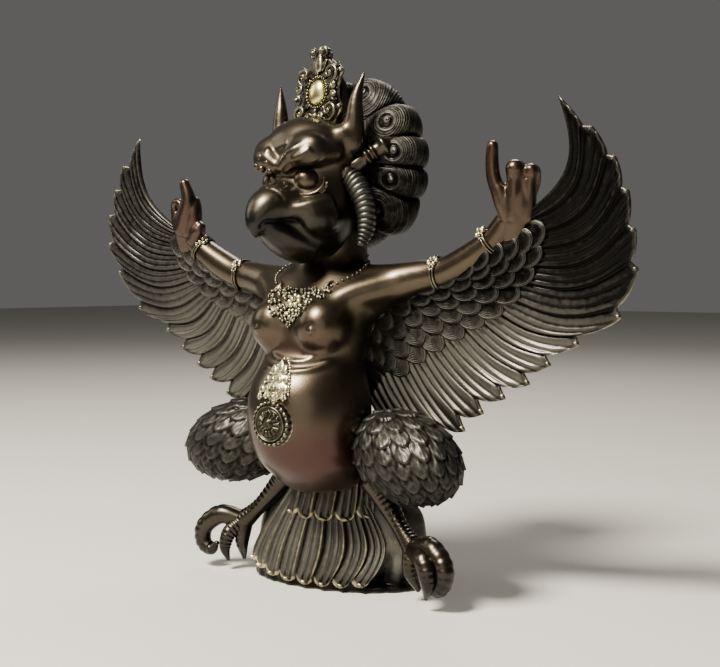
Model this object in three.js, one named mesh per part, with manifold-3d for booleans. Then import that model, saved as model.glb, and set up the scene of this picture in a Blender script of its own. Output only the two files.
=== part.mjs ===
// A garuda, half person and half bird, cast in one piece in dark bronze.
// It crouches on its own spread tail, with its wings out and both hands raised.
// Millimetres, +Z up, the belly faces -Y, and the origin is on the flat underside of the tail.

import * as THREE from "three";
import { mergeVertices } from "three/addons/utils/BufferGeometryUtils.js";
import Module from "manifold-3d";

const wasm = await Module();
wasm.setup();

// Driving sizes of the casting, in millimetres.
const figureHeight = 218; // floor to crown tip
const wingSpan = 262; // tip to tip across the widest feathers
const wingFeatherThickness = 3.2;
const wingWebThickness = 1.8;
const baseWidth = 78; // the flat underside, which is the whole foot of the figure
const baseDepth = 41;
const baseCentreX = -1.5;
const baseCentreY = 4.5;
const baseTurn = 10; // degrees, towards the figure's left
const baseEdgeHeight = 5;
const tailFeatherThickness = 3;
const crownPlateThickness = 3.2;
const medallionRadius = 9.6;
const medallionThickness = 2.2;

// The pose and the body are drawn at 218 mm tall and follow the figure's height. The wings also follow
// the span, outwards from the shoulders.
const drawnHeight = 218;
const drawnSpan = 262;
const share = figureHeight / drawnHeight;
const shoulderX = 26;
const spanShare = (wingSpan / 2 / share - shoulderX) / (drawnSpan / 2 - shoulderX);

const vec = (x, y, z) => new THREE.Vector3(x, y, z);
const pose = (x, y, z) => vec(x, y, z).multiplyScalar(share);
const spread = (x) => (x > shoulderX ? shoulderX + (x - shoulderX) * spanShare : x);
const wingPose = (x, y, z) => pose(spread(x), y, z);
const UP = vec(0, 0, 1);
const FRONT = vec(0, -1, 0);

// A closed skin over rings of points, each ring with as many points as the others. The first and last
// rings are closed by strips straight across them.
function skin(rings) {
  const sides = rings[0].length;
  const points = rings.flat();
  const faces = [];
  for (let ring = 0; ring + 1 < rings.length; ring++) {
    for (let i = 0; i < sides; i++) {
      const a = ring * sides + i;
      const b = ring * sides + ((i + 1) % sides);
      faces.push(a, b, b + sides, a, b + sides, a + sides);
    }
  }
  const lastRing = (rings.length - 1) * sides;
  for (let i = 0; 2 * i + 2 < sides; i++) {
    const across = sides - 1 - i;
    faces.push(across, i + 1, i, lastRing + across, lastRing + i, lastRing + i + 1);
    if (across - 1 > i + 1) {
      faces.push(across, across - 1, i + 1, lastRing + across, lastRing + i + 1, lastRing + across - 1);
    }
  }
  const geometry = new THREE.BufferGeometry().setFromPoints(points);
  geometry.setIndex(faces);
  if (volumeOf(geometry) < 0) flip(geometry);
  return geometry;
}

// The volume inside a skin, negative where its faces point inwards.
function volumeOf(geometry) {
  const position = geometry.getAttribute("position");
  const index = geometry.getIndex();
  const [a, b, c] = [vec(0, 0, 0), vec(0, 0, 0), vec(0, 0, 0)];
  let sum = 0;
  for (let i = 0; i < index.count; i += 3) {
    a.fromBufferAttribute(position, index.getX(i));
    b.fromBufferAttribute(position, index.getX(i + 1));
    c.fromBufferAttribute(position, index.getX(i + 2));
    sum += a.dot(b.cross(c)) / 6;
  }
  return sum;
}

function flip(geometry) {
  const index = geometry.getIndex();
  for (let i = 0; i < index.count; i += 3) {
    const kept = index.getX(i);
    index.setX(i, index.getX(i + 2));
    index.setX(i + 2, kept);
  }
}

// One ring of points: an oval with two half-axes, squarer than an ellipse where the power is under 1.
function oval(at, wide, deep, halfWide, halfDeep, sides, power = 1) {
  return Array.from({ length: sides }, (_, i) => {
    const turn = (i / sides) * 2 * Math.PI;
    const c = Math.sign(Math.cos(turn)) * Math.abs(Math.cos(turn)) ** power;
    const s = Math.sign(Math.sin(turn)) * Math.abs(Math.sin(turn)) ** power;
    return at.clone().addScaledVector(wide, halfWide * c).addScaledVector(deep, halfDeep * s);
  });
}

function smooth(points) {
  return new THREE.CatmullRomCurve3(points, false, "centripetal");
}

// A body of level ovals, each with a height, a half-width, a front and a back.
function column(levels, sides, power = 1) {
  return skin(
    levels.map(({ z, half, front, back }) =>
      oval(
        pose(0, (front + back) / 2, z),
        vec(1, 0, 0),
        vec(0, 1, 0),
        half * share,
        ((back - front) / 2) * share,
        sides,
        power,
      ),
    ),
  );
}

// A rounded limb along a smooth curve, with a radius at each of its points and dome ends.
function limb(points, radii, sides, steps, across = UP) {
  const curve = smooth(points);
  const rings = [];
  for (let i = 0; i <= steps; i++) {
    const t = i / steps;
    const place = t * (radii.length - 1);
    const low = Math.min(Math.floor(place), radii.length - 2);
    const radius = THREE.MathUtils.lerp(radii[low], radii[low + 1], place - low) * share;
    const along = curve.getTangent(t);
    const wide = across.clone().cross(along).normalize();
    const deep = along.clone().cross(wide).normalize();
    const at = curve.getPoint(t);
    const ring = oval(at, wide, deep, radius, radius, sides);
    const dome = (way) =>
      oval(at.clone().addScaledVector(along, way * radius), wide, deep, radius / 2, radius / 2, sides);
    if (i === 0) rings.push(dome(-0.7));
    rings.push(ring);
    if (i === steps) rings.push(dome(0.7));
  }
  return skin(rings);
}

// An egg: a ball stretched to three half-sizes, turned so that its long axis follows a direction.
function egg(at, along, halfLong, halfWide, halfDeep, sides, rings) {
  const axis = along.clone().normalize();
  const level = Math.abs(axis.z) > 0.9 ? vec(1, 0, 0) : UP.clone().cross(axis).normalize();
  const deep = axis.clone().cross(level).normalize();
  const wide = deep.clone().cross(axis).normalize();
  const geometry = new THREE.SphereGeometry(share, sides, rings);
  const frame = new THREE.Matrix4().makeBasis(
    wide.multiplyScalar(halfWide),
    axis.multiplyScalar(halfLong),
    deep.multiplyScalar(halfDeep),
  );
  frame.setPosition(at);
  geometry.applyMatrix4(frame);
  if (volumeOf(geometry) < 0) flip(geometry);
  return geometry;
}

function mirrored(geometry) {
  const copy = geometry.clone().scale(-1, 1, 1);
  flip(copy);
  return copy;
}

function bothSides(geometries) {
  return geometries.flatMap((geometry) => [geometry, mirrored(geometry)]);
}

// Tail: a fan with upright sides, flat underneath, that narrows to the hips over the feet. Two tiers of
// feathers spread over its front, a little to the figure's right, and smooth wedges are left beside them.
const turnBase = new THREE.Matrix4()
  .makeTranslation(baseCentreX, baseCentreY, 0)
  .multiply(new THREE.Matrix4().makeRotationZ(THREE.MathUtils.degToRad(baseTurn)));

function tailCore() {
  const levels = [
    { z: 0, wide: 0.97, deep: 0.97, back: 0 },
    { z: baseEdgeHeight, wide: 0.98, deep: 0.98, back: 0 },
    { z: 22, wide: 0.97, deep: 0.72, back: 3.5 },
    { z: 30, wide: 0.9, deep: 0.64, back: 4.5 },
    { z: 38, wide: 0.66, deep: 0.57, back: 5 },
    { z: 48, wide: 0.46, deep: 0.5, back: 5.5 },
    { z: 76, wide: 0.28, deep: 0.2, back: 0 },
  ];
  const rings = levels.map(({ z, wide, deep, back }) =>
    oval(
      vec(0, back * share, z > baseEdgeHeight ? z * share : z),
      vec(1, 0, 0),
      vec(0, 1, 0),
      (baseWidth / 2) * wide,
      (baseDepth / 2) * deep,
      16,
    ),
  );
  return skin(rings).applyMatrix4(turnBase);
}

// A tier of feathers as one ribbed skin round the front, from one turn to another: each feather is a
// ridge between two valleys, and its tip reaches lower than the valleys beside it.
const tierBack = 4; // how far behind the fan's middle a tier's skin closes, inside the core
function featherTier({ feathers, from, to, levels, ridge, tipDrop, sideLift }) {
  const places = 2 * feathers + 1;
  const rings = levels.map(({ z, wide, ahead }, level) => {
    const ring = Array.from({ length: places }, (_, i) => {
      const turn = THREE.MathUtils.degToRad(THREE.MathUtils.lerp(from, to, i / (2 * feathers)));
      const onRidge = i % 2 === 1;
      const out = onRidge ? ridge : 0;
      const drop = level === 0 && onRidge ? tipDrop : 0;
      const lift = sideLift * Math.abs(Math.sin(turn)) ** 3 * (1 - level / (levels.length - 1));
      return vec(
        Math.sin(turn) * (wide + out),
        -Math.cos(turn) * (ahead + out),
        z - drop + lift,
      );
    });
    ring.push(vec(0, tierBack * share, z));
    return ring;
  });
  return skin(rings).applyMatrix4(turnBase);
}

function tailFeathers() {
  const lower = featherTier({
    feathers: 8,
    from: -68,
    to: 44,
    ridge: tailFeatherThickness / 2,
    tipDrop: 3.2 * share,
    sideLift: 7 * share,
    levels: [
      { z: baseEdgeHeight, wide: baseWidth / 2, ahead: baseDepth / 2 },
      { z: 20 * share, wide: baseWidth * 0.42, ahead: baseDepth * 0.39 },
      { z: 45 * share, wide: baseWidth * 0.2, ahead: baseDepth * 0.2 },
    ],
  });
  const upper = featherTier({
    feathers: 5,
    from: -56,
    to: 70,
    ridge: tailFeatherThickness / 2,
    tipDrop: 3.5 * share,
    sideLift: 2 * share,
    levels: [
      { z: 31 * share, wide: baseWidth * 0.27, ahead: baseDepth * 0.4 },
      { z: 40 * share, wide: baseWidth * 0.24, ahead: baseDepth * 0.3 },
      { z: 54 * share, wide: baseWidth * 0.2, ahead: baseDepth * 0.18 },
    ],
  });
  return [lower, upper];
}

// Torso: a round belly under heavy breasts, narrowing to a short neck.
function torso() {
  const levels = [
    { z: 40, half: 13, front: -22, back: 10 },
    { z: 47, half: 18, front: -31, back: 10 },
    { z: 54, half: 22, front: -37.5, back: 10 },
    { z: 63, half: 24.3, front: -40.8, back: 9.5 },
    { z: 72, half: 24.8, front: -41.5, back: 9 },
    { z: 81, half: 24, front: -39.8, back: 8 },
    { z: 88, half: 22, front: -36, back: 7 },
    { z: 92, half: 20.8, front: -32.5, back: 6.5 },
    { z: 98, half: 21.5, front: -29.5, back: 7 },
    { z: 106, half: 23, front: -29, back: 8 },
    { z: 114, half: 24.5, front: -26, back: 8.5 },
    { z: 121, half: 26, front: -21.5, back: 7.5 },
    { z: 127, half: 23, front: -17.5, back: 8.5 },
    { z: 131, half: 17, front: -15, back: 10.5 },
    { z: 136, half: 15.2, front: -13.5, back: 11.5 },
    { z: 147, half: 15, front: -14, back: 11 },
  ];
  return column(levels, 14, 0.95);
}

function breasts() {
  return bothSides([egg(pose(11, -22.5, 106), vec(0.1, -1, -0.25), 11.4, 9.8, 11, 9, 5)]);
}

function navelMedallion() {
  const facing = vec(0, -1, -0.03).normalize();
  const wheel = new THREE.LatheGeometry(
    [
      new THREE.Vector2(0, -4),
      new THREE.Vector2(medallionRadius, -4),
      new THREE.Vector2(medallionRadius, medallionThickness * 0.5),
      new THREE.Vector2(medallionRadius * 0.86, medallionThickness),
      new THREE.Vector2(medallionRadius * 0.25, medallionThickness * 0.8),
      new THREE.Vector2(0, medallionThickness * 1.3),
    ],
    12,
  );
  wheel.applyQuaternion(new THREE.Quaternion().setFromUnitVectors(vec(0, 1, 0), facing));
  const wheelAt = pose(0, -40.6, 69.5);
  wheel.translate(wheelAt.x, wheelAt.y, wheelAt.z);
  const flower = egg(pose(0, -37.2, 82), vec(0, -0.35, 1), 8.4, 5.8, 4.6, 8, 5);
  return [wheel, flower];
}

const chainHalfHeight = 1.5;
const chainHalfDepth = 1.9;
const pendantSwell = 2.6; // how much taller the chain grows above its pendant

function necklace() {
  const loop = smooth([
    pose(-19, -9, 128),
    pose(-13, -18.6, 122.5),
    pose(-4.5, -23.8, 117.5),
    pose(4.5, -23.8, 117.5),
    pose(13, -18.6, 122.5),
    pose(19, -9, 128),
  ]);
  const steps = 6;
  const rings = [];
  for (let i = 0; i <= steps; i++) {
    const t = i / steps;
    const along = loop.getTangent(t);
    const wide = FRONT.clone().cross(along).normalize();
    const deep = along.clone().cross(wide).normalize();
    const tall = (chainHalfHeight + pendantSwell * Math.sin(t * Math.PI) ** 3) * share;
    rings.push(oval(loop.getPoint(t), wide, deep, tall, chainHalfDepth * share, 6));
  }
  const pendant = egg(pose(0, -25.4, 114.2), vec(0, -0.3, -1), 5.4, 5.6, 2.8, 7, 5);
  return [skin(rings), pendant];
}

// Legs: fat folded thighs with the knees out, thin shanks and clawed toes.
function leg() {
  const thigh = egg(pose(41.5, -9, 56.5), vec(0.93, -0.25, -0.24), 26.7, 17.6, 17.2, 11, 8);
  const shank = limb(
    [
      pose(22, -2, 44),
      pose(27, -2.5, 38),
      pose(36, -5, 28),
      pose(43.5, -7, 21),
      pose(43.2, -8.6, 12.5),
      pose(44.8, -5.5, 4.6),
    ],
    [6.5, 5.2, 3, 4.8, 3.2, 1.2],
    7,
    9,
    FRONT,
  );
  const middleToe = limb(
    [pose(45, -8, 21), pose(53.5, -15, 18.5), pose(56.5, -16.5, 11.5), pose(54.6, -15.2, 5)],
    [4.2, 4.2, 3.3, 1.1],
    6,
    5,
    FRONT,
  );
  const outerToe = limb(
    [
      pose(45, -7, 21),
      pose(53.5, -10.5, 23),
      pose(60.8, -13, 17.5),
      pose(61, -13.8, 11),
      pose(57, -13.4, 8.2),
      pose(54, -13, 10.8),
    ],
    [4.4, 4.6, 4.5, 3.9, 3.2, 1.6],
    6,
    8,
    FRONT,
  );
  return [thigh, shank, middleToe, outerToe];
}

// Arms: out from the shoulders, then up along the forearms to raised hands. A band lies round each
// upper arm and each wrist.
function arm() {
  return limb(
    [
      wingPose(17, -2, 120),
      wingPose(30, -0.8, 122.5),
      wingPose(41, 0.5, 125),
      wingPose(47.2, 0.8, 126),
      wingPose(47.8, 0.8, 126.1),
      wingPose(52.6, 0.9, 126.9),
      wingPose(53.2, 0.9, 127.1),
      wingPose(62.3, 0.8, 131.2),
      wingPose(71.9, 0.3, 137),
      wingPose(72.5, 0.3, 137.5),
      wingPose(75.9, 0, 140.2),
      wingPose(76.7, 0, 141),
    ],
    [10.5, 8.2, 6.7, 6.1, 7.3, 7.3, 6, 6.1, 5.5, 6.7, 6.7, 5.4],
    8,
    11,
  );
}

// A hand with the first finger raised and the others folded onto the palm under the thumb. The folded
// fingers may curl lower than the knuckles of the other hand do.
function hand(fingerTip, curlDrop) {
  const palm = skin([
    oval(wingPose(78, -0.5, 139.5), vec(0.8, 0, -0.6), FRONT, 5.8 * share, 5.4 * share, 8),
    oval(wingPose(83, -1.4, 146.5), vec(0.93, 0, -0.37), FRONT, 7.6 * share, 5 * share, 8),
    oval(wingPose(86, -2.6, 154), vec(0.98, 0, -0.18), FRONT, 8.6 * share, 4.7 * share, 8),
    oval(wingPose(86, -3.8, 164.5 - curlDrop), vec(1, 0, 0.05), FRONT, 8 * share, 3.6 * share, 8),
  ]);
  const knuckle = wingPose(80.6, -4.8, 160);
  const index = limb(
    [knuckle, fingerTip.clone().lerp(knuckle, 0.45), fingerTip],
    [2.6, 2.2, 1.7],
    6,
    3,
    FRONT,
  );
  const folded = [0, 1, 2].map((i) =>
    limb(
      [
        wingPose(83 + 3.7 * i, -3.6, 164 - 0.7 * i - curlDrop),
        wingPose(83.2 + 3.7 * i, -7.4, 166.4 - 1.1 * i - curlDrop),
        wingPose(82.6 + 3.4 * i, -9.6, 161.5 - 1 * i - curlDrop),
        wingPose(82 + 3.2 * i, -7.4, 157 - 0.6 * i),
      ],
      [2.4, 2.4, 2.2, 1.9],
      5,
      3,
      vec(1, 0, 0),
    ),
  );
  const thumb = limb(
    [wingPose(82, -4.6, 147.5), wingPose(81.8, -8.6, 153.5), wingPose(85.5, -11.2, 160)],
    [3.2, 2.7, 1.8],
    6,
    3,
  );
  return [palm, index, ...folded, thumb];
}

// Wings: one ribbed sheet behind each arm. Every feather is a ridge that bends outwards from the arm
// to its tip on the wing's rim, between two valleys that stop short of the rim.
const armLine = smooth([
  wingPose(10, 4, 86),
  wingPose(10, 4, 100),
  wingPose(16, 3.5, 112),
  wingPose(30, 2.5, 121),
  wingPose(46, 1.5, 124),
  wingPose(62, 1, 129.5),
  wingPose(74, 0, 137),
  wingPose(83, -0.5, 148),
]);
const featherRoots = smooth([
  wingPose(15, 5, 76),
  wingPose(28, 5.5, 92),
  wingPose(43, 5, 101),
  wingPose(59, 4.5, 109),
  wingPose(73, 4, 116),
  wingPose(85, 2.5, 127),
  wingPose(90, 0.5, 139),
  wingPose(89, -1.5, 149),
]);
const featherTips = [
  wingPose(27.5, 7.5, 59.5),
  wingPose(38, 7.5, 60),
  wingPose(48, 8, 61.5),
  wingPose(57.5, 8, 65.6),
  wingPose(66, 7.6, 73),
  wingPose(75.7, 7.1, 79.4),
  wingPose(85.2, 8.6, 85.3),
  wingPose(94.3, 7.6, 92.8),
  wingPose(105, 8.6, 100.8),
  wingPose(121.8, 6.8, 111.2),
  wingPose(130, 1.6, 128.2),
  wingPose(130.9, -3.5, 141.5),
  wingPose(128.8, -4.8, 154.7),
  wingPose(124, -5.2, 166.4),
  wingPose(116.3, -7.2, 176.9),
  wingPose(104, -8.6, 188.4),
];
const rim = smooth(featherTips);
const lowTipLength = 7.5; // how far a feather's tip stands out past its neighbours, low on the wing
const highTipLength = 2.8; // and high on it
const lowBow = 0.07; // how far a feather bows outwards, as a share of its length, low on the wing
const highBow = 0.22; // and high on it
const sheetHollow = 1.5; // how far the middle of a feather lies behind its two ends
const lowHem = 3; // width of the plain edge below the lowest feather
const highHem = 1.5; // and above the highest one

function wing() {
  const last = featherTips.length - 1;
  const rings = [];
  for (let line = -1; line <= 2 * last + 1; line++) {
    const onRidge = line % 2 === 0;
    const place = THREE.MathUtils.clamp(line / 2 / last, 0, 1);
    const root = featherRoots.getPoint(place);
    const tip = rim.getPoint(place);
    const tipLength = THREE.MathUtils.lerp(lowTipLength, highTipLength, place) * share;
    const end = onRidge ? tip : tip.clone().lerp(root, tipLength / tip.distanceTo(root));
    if (line < 0) end.x -= lowHem * share;
    if (line > 2 * last) end.x -= highHem * share;
    const chord = end.clone().sub(root);
    const outward = vec(chord.z, 0, -chord.x).normalize();
    const bow = chord.length() * THREE.MathUtils.lerp(lowBow, highBow, place ** 2);
    const blade = [0.3, 0.67, 1].map((t) => {
      const at = root.clone().lerp(end, t).addScaledVector(outward, bow * Math.sin(Math.PI * t));
      at.y += sheetHollow * share * Math.sin(Math.PI * t);
      return at;
    });
    const half = (onRidge ? wingFeatherThickness : wingWebThickness) / 2;
    const path = [armLine.getPoint(place), ...blade];
    const halves = path.map((_, i) => (i === path.length - 1 ? half / 2 : half));
    const front = path.map((at, i) => at.clone().addScaledVector(FRONT, halves[i]));
    const back = path.map((at, i) => at.clone().addScaledVector(FRONT, -halves[i]));
    rings.push([...front, ...back.reverse()]);
  }
  return skin(rings);
}

// Head: turned a little to the figure's right, drawn in its own frame. +X is the figure's left,
// -Y is straight out over the beak, and the origin is on the neck's axis at eye height.
const headTurn = 8; // degrees
const headFrame = new THREE.Matrix4()
  .makeTranslation(0, -9 * share, 164 * share)
  .multiply(new THREE.Matrix4().makeRotationZ(THREE.MathUtils.degToRad(-headTurn)));

function skull() {
  const levels = [
    { z: -31, half: 8, front: -12, back: 9 },
    { z: -26, half: 12, front: -20, back: 12 },
    { z: -18, half: 16.5, front: -25, back: 14 },
    { z: -9, half: 18.5, front: -24, back: 15 },
    { z: 0, half: 19, front: -20, back: 16 },
    { z: 8, half: 19.5, front: -21, back: 16 },
    { z: 15, half: 18.5, front: -19, back: 15 },
    { z: 20, half: 14, front: -13, back: 11 },
    { z: 23, half: 7, front: -6, back: 5 },
  ];
  return column(levels, 14);
}

function beak() {
  const path = [
    { y: -13, z: -11, half: 11, tall: 9.5 },
    { y: -22, z: -11.5, half: 9.8, tall: 8.2 },
    { y: -28.8, z: -13.5, half: 8, tall: 7.2 },
    { y: -33.2, z: -17, half: 5.8, tall: 5 },
    { y: -34.8, z: -20.5, half: 3.6, tall: 3.2 },
    { y: -34.8, z: -24, half: 1.2, tall: 1.2 },
  ];
  const rings = path.map(({ y, z, half, tall }, i) => {
    const before = path[Math.max(i - 1, 0)];
    const after = path[Math.min(i + 1, path.length - 1)];
    const along = vec(0, after.y - before.y, after.z - before.z).normalize();
    const deep = along.clone().cross(vec(1, 0, 0)).normalize();
    return oval(pose(0, y, z), deep, vec(1, 0, 0), tall * share, half * share, 8);
  });
  return skin(rings);
}

function jaw() {
  const path = [
    { y: -10, z: -27, half: 11, tall: 7 },
    { y: -20, z: -24.5, half: 10, tall: 6 },
    { y: -28, z: -20.8, half: 6.8, tall: 4.8 },
    { y: -33.5, z: -19.4, half: 2.6, tall: 2.4 },
  ];
  return skin(
    path.map(({ y, z, half, tall }) => oval(pose(0, y, z), vec(1, 0, 0), UP, half * share, tall * share, 8)),
  );
}

function faceSide() {
  const brow = limb(
    [pose(3.5, -21.5, 2.5), pose(8.3, -21.4, 6.8), pose(15, -17, 8), pose(17.5, -9, 10.5)],
    [3.2, 4.3, 5.4, 5],
    6,
    4,
  );
  const eye = egg(pose(9, -16, -1.2), vec(0, -1, 0), 6.2, 6.2, 6.2, 7, 5);
  const cheek = limb(
    [pose(8, -27, -10), pose(13, -21, -7.5), pose(17.5, -12, -9), pose(19, -4, -14)],
    [2.6, 4.2, 4.4, 3],
    6,
    3,
  );
  const whisker = limb(
    [pose(19.5, -3, -2), pose(22.5, 1.5, -7), pose(22.5, 3.5, -16), pose(19.5, 4.5, -24)],
    [2.6, 4.6, 4.4, 2.2],
    6,
    4,
  );
  const ear = limb(
    [pose(18, 0, 4), pose(23, 4, 8.5), pose(27.5, 8.5, 12.5), pose(32.5, 14.5, 17)],
    [3.4, 3.4, 3.8, 1],
    6,
    3,
  );
  const horn = limb(
    [pose(18.6, -1.5, 14), pose(21, -2, 22), pose(21.6, -1.6, 30.5), pose(24, 0.5, 40.6)],
    [5.2, 3.7, 2.5, 0.7],
    6,
    4,
    FRONT,
  );
  return [brow, eye, cheek, whisker, ear, horn];
}

const crownLean = 6; // degrees, backwards
const crownShift = -1.2; // sideways from the middle of the head

function crownPlate() {
  const rightEdge = [
    [9, 0],
    [10.6, 3],
    [12.9, 7.6],
    [11.2, 11.8],
    [10.6, 15.4],
    [11.2, 19.4],
    [12, 23],
    [9.4, 25.4],
    [5.6, 27.6],
    [4.8, 30.2],
    [3.2, 32.4],
    [0.8, 33.4],
  ].map(([x, y]) => new THREE.Vector2(x, y));
  const leftEdge = rightEdge.map(({ x, y }) => new THREE.Vector2(-x, y)).reverse();
  const plate = new THREE.ExtrudeGeometry(new THREE.Shape([...rightEdge, ...leftEdge]), {
    depth: crownPlateThickness,
    bevelEnabled: false,
  });
  plate.scale(share, share, 1);
  plate.rotateX(THREE.MathUtils.degToRad(90 - crownLean));
  plate.translate(crownShift * share, 0.6 * share, 20.44 * share);
  const cabochon = egg(pose(crownShift, -2.1, 35), vec(0, 0.1, 1), 4.5, 4.1, 2.2, 7, 5);
  return [plate, cabochon];
}

function topknot() {
  return column(
    [
      { z: 16, half: 12, front: -2, back: 13 },
      { z: 26, half: 11, front: 0.5, back: 13 },
      { z: 36, half: 8.5, front: 3, back: 12 },
      { z: 48, half: 1.8, front: 4, back: 7.5 },
    ],
    8,
  );
}

// The mane: a thick cushion behind the head whose rim swells into big round curls. Each curl reaches a
// distance from the mane's middle and ends at a valley, at an angle from the top.
const topCurl = { reach: 33, until: 8, valley: 31.6 };
const sideCurls = [
  { reach: 35.2, until: 49, valley: 32.4 },
  { reach: 36, until: 75, valley: 33.2 },
  { reach: 36.4, until: 97, valley: 34 },
  { reach: 37.2, until: 117, valley: 35 },
  { reach: 38.2, until: 148, valley: 33.6 },
];
const bottomCurl = { reach: 35.6 };

// The rim's points, clockwise from the top, as turns in degrees and distances from the middle.
function maneRim() {
  const down = [topCurl, ...sideCurls];
  const right = [{ turn: 0, radius: topCurl.reach }];
  down.forEach(({ until, valley }, i) => {
    const next = down[i + 1];
    right.push({ turn: until, radius: valley });
    if (next) {
      right.push({ turn: until + (next.until - until) / 3, radius: next.reach });
      right.push({ turn: until + ((next.until - until) * 2) / 3, radius: next.reach });
    }
  });
  right.push({ turn: 165, radius: bottomCurl.reach });
  const left = right.slice(1).reverse();
  return [...right, ...left.map(({ turn, radius }) => ({ turn: 360 - turn, radius }))];
}

const maneMiddleRadius = 34; // between the curls' reaches and the valleys
const maneWidening = 1.06; // the mane is a little wider than it is tall
const maneCentre = 8; // height of its middle above the eyes

function mane() {
  const levels = [
    { y: 7, out: 0.68, swell: 0.4 },
    { y: 13, out: 0.98, swell: 1 },
    { y: 23, out: 0.97, swell: 1 },
    { y: 31, out: 0.68, swell: 0.5 },
    { y: 34, out: 0.25, swell: 0.1 },
  ];
  return skin(
    levels.map(({ y, out, swell }) =>
      maneRim().map(({ turn, radius }) => {
        const reach = out * maneMiddleRadius + swell * (radius - maneMiddleRadius);
        const angle = THREE.MathUtils.degToRad(turn);
        return pose(reach * maneWidening * Math.sin(angle), y, maneCentre + reach * Math.cos(angle));
      }),
    ),
  );
}

function head() {
  const made = [
    skull(),
    beak(),
    jaw(),
    ...bothSides(faceSide()),
    ...crownPlate(),
    topknot(),
    mane(),
  ];
  return made.map((geometry) => geometry.applyMatrix4(headFrame));
}

// Joins closed shapes into one solid.
function solidOf(geometry) {
  const bare = geometry.clone();
  bare.deleteAttribute("normal");
  bare.deleteAttribute("uv");
  const merged = mergeVertices(bare, 1e-4);
  return new wasm.Manifold(
    new wasm.Mesh({
      numProp: 3,
      vertProperties: new Float32Array(merged.attributes.position.array),
      triVerts: new Uint32Array(merged.index.array),
    }),
  );
}

function geometryOf(solid) {
  const mesh = solid.getMesh();
  const geometry = new THREE.BufferGeometry();
  geometry.setAttribute("position", new THREE.BufferAttribute(mesh.vertProperties, 3));
  geometry.setIndex(new THREE.BufferAttribute(mesh.triVerts, 1));
  geometry.computeVertexNormals();
  return geometry;
}

function figure() {
  const leftFinger = wingPose(78, -7, 173.2);
  const rightFinger = wingPose(78.4, -8.6, 167.6);
  const shapes = [
    tailCore(),
    ...tailFeathers(),
    torso(),
    ...breasts(),
    ...navelMedallion(),
    ...necklace(),
    ...bothSides(leg()),
    ...bothSides([arm()]),
    ...hand(leftFinger, 0),
    ...hand(rightFinger, 4).map(mirrored),
    ...bothSides([wing()]),
    ...head(),
  ];
  const joined = shapes.map(solidOf).reduce((sum, next) => sum.add(next));
  const floorCut = new THREE.BoxGeometry(4 * wingSpan, 4 * wingSpan, 50);
  floorCut.translate(0, 0, -25);
  return geometryOf(withoutPockets(joined.subtract(solidOf(floorCut))));
}

// Metal fills the small pockets that neighbouring shapes close in between them.
function withoutPockets(solid) {
  const skins = solid.decompose();
  return skins.filter((skin) => skin.volume() > 0).reduce((sum, next) => sum.add(next));
}

const bronze = new THREE.MeshStandardMaterial({ color: 0x2a1d18, roughness: 0.38, metalness: 0.9 });
const garuda = new THREE.Mesh(figure(), bronze);
garuda.name = "garuda_figure";

const group = new THREE.Group();
group.add(garuda);

export default group;
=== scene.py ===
"""A garuda cast in dark bronze: half person and half bird, crouching on its spread tail with its wings
out and both hands raised. Sizes are in millimetres of the real figure until a mesh is made."""

import math

import bmesh
import bpy
import numpy as np
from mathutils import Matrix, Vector
from mathutils.bvhtree import BVHTree


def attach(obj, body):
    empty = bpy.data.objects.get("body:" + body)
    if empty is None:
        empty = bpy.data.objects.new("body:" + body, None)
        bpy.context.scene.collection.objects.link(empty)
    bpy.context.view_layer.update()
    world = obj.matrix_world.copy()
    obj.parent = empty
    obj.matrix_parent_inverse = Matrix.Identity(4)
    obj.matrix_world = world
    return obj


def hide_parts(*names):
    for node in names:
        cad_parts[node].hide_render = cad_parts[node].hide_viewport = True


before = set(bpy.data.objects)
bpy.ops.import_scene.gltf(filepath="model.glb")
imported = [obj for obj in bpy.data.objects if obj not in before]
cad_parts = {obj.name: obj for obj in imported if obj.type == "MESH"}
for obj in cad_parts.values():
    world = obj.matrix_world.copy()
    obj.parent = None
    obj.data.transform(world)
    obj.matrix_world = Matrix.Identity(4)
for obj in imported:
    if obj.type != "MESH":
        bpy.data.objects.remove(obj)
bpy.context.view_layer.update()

bl_info = {
    "name": "Cast bronze garuda",
    "version": (1, 1, 0),
    "blender": (4, 5, 0),
    "location": "3D View > Sidebar > Garuda",
    "description": "Dresses a solid garuda figure with its carved feathers, curls, jewels and bronze",
    "category": "Add Mesh",
}

NODE = "garuda_figure"
MM = 0.001
UP = np.array((0.0, 0.0, 1.0))
FRONT = np.array((0.0, -1.0, 0.0))
SIDE = np.array((1.0, 0.0, 0.0))
BOTH = (1, -1)
DOME_RINGS = 6


# Curves and grids


def unit(v):
    """v / |v| along the last axis."""
    v = np.asarray(v, float)
    return v / np.maximum(np.linalg.norm(v, axis=-1, keepdims=True), 1e-12)


def squared(along, out):
    """Three directions at right angles: along, out turned as little as it takes, and across."""
    along = unit(along)
    out = unit(np.asarray(out, float) - along * np.dot(out, along))
    return along, out, np.cross(out, along)


def level_and_deep(axis):
    """Two directions at right angles to an axis and to each other, the first one level unless the axis is
    nearly upright."""
    level = unit(np.cross(UP if abs(axis[2]) < 0.9 else SIDE, axis))
    return level, np.cross(axis, level)


def step(low, high, x):
    """0 below low, 1 above high and 3s^2 - 2s^3 between them. With low above high it falls instead."""
    s = np.clip((x - low) / (high - low), 0, 1)
    return s * s * (3 - 2 * s)


def ridge(x, width):
    """exp(-(x / width)^2): a rounded ridge."""
    return np.exp(-((x / width) ** 2))


def round_turn(count):
    """Angles once round, as a row."""
    return np.linspace(0, 2 * math.pi, count, endpoint=False)[None, :]


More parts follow.
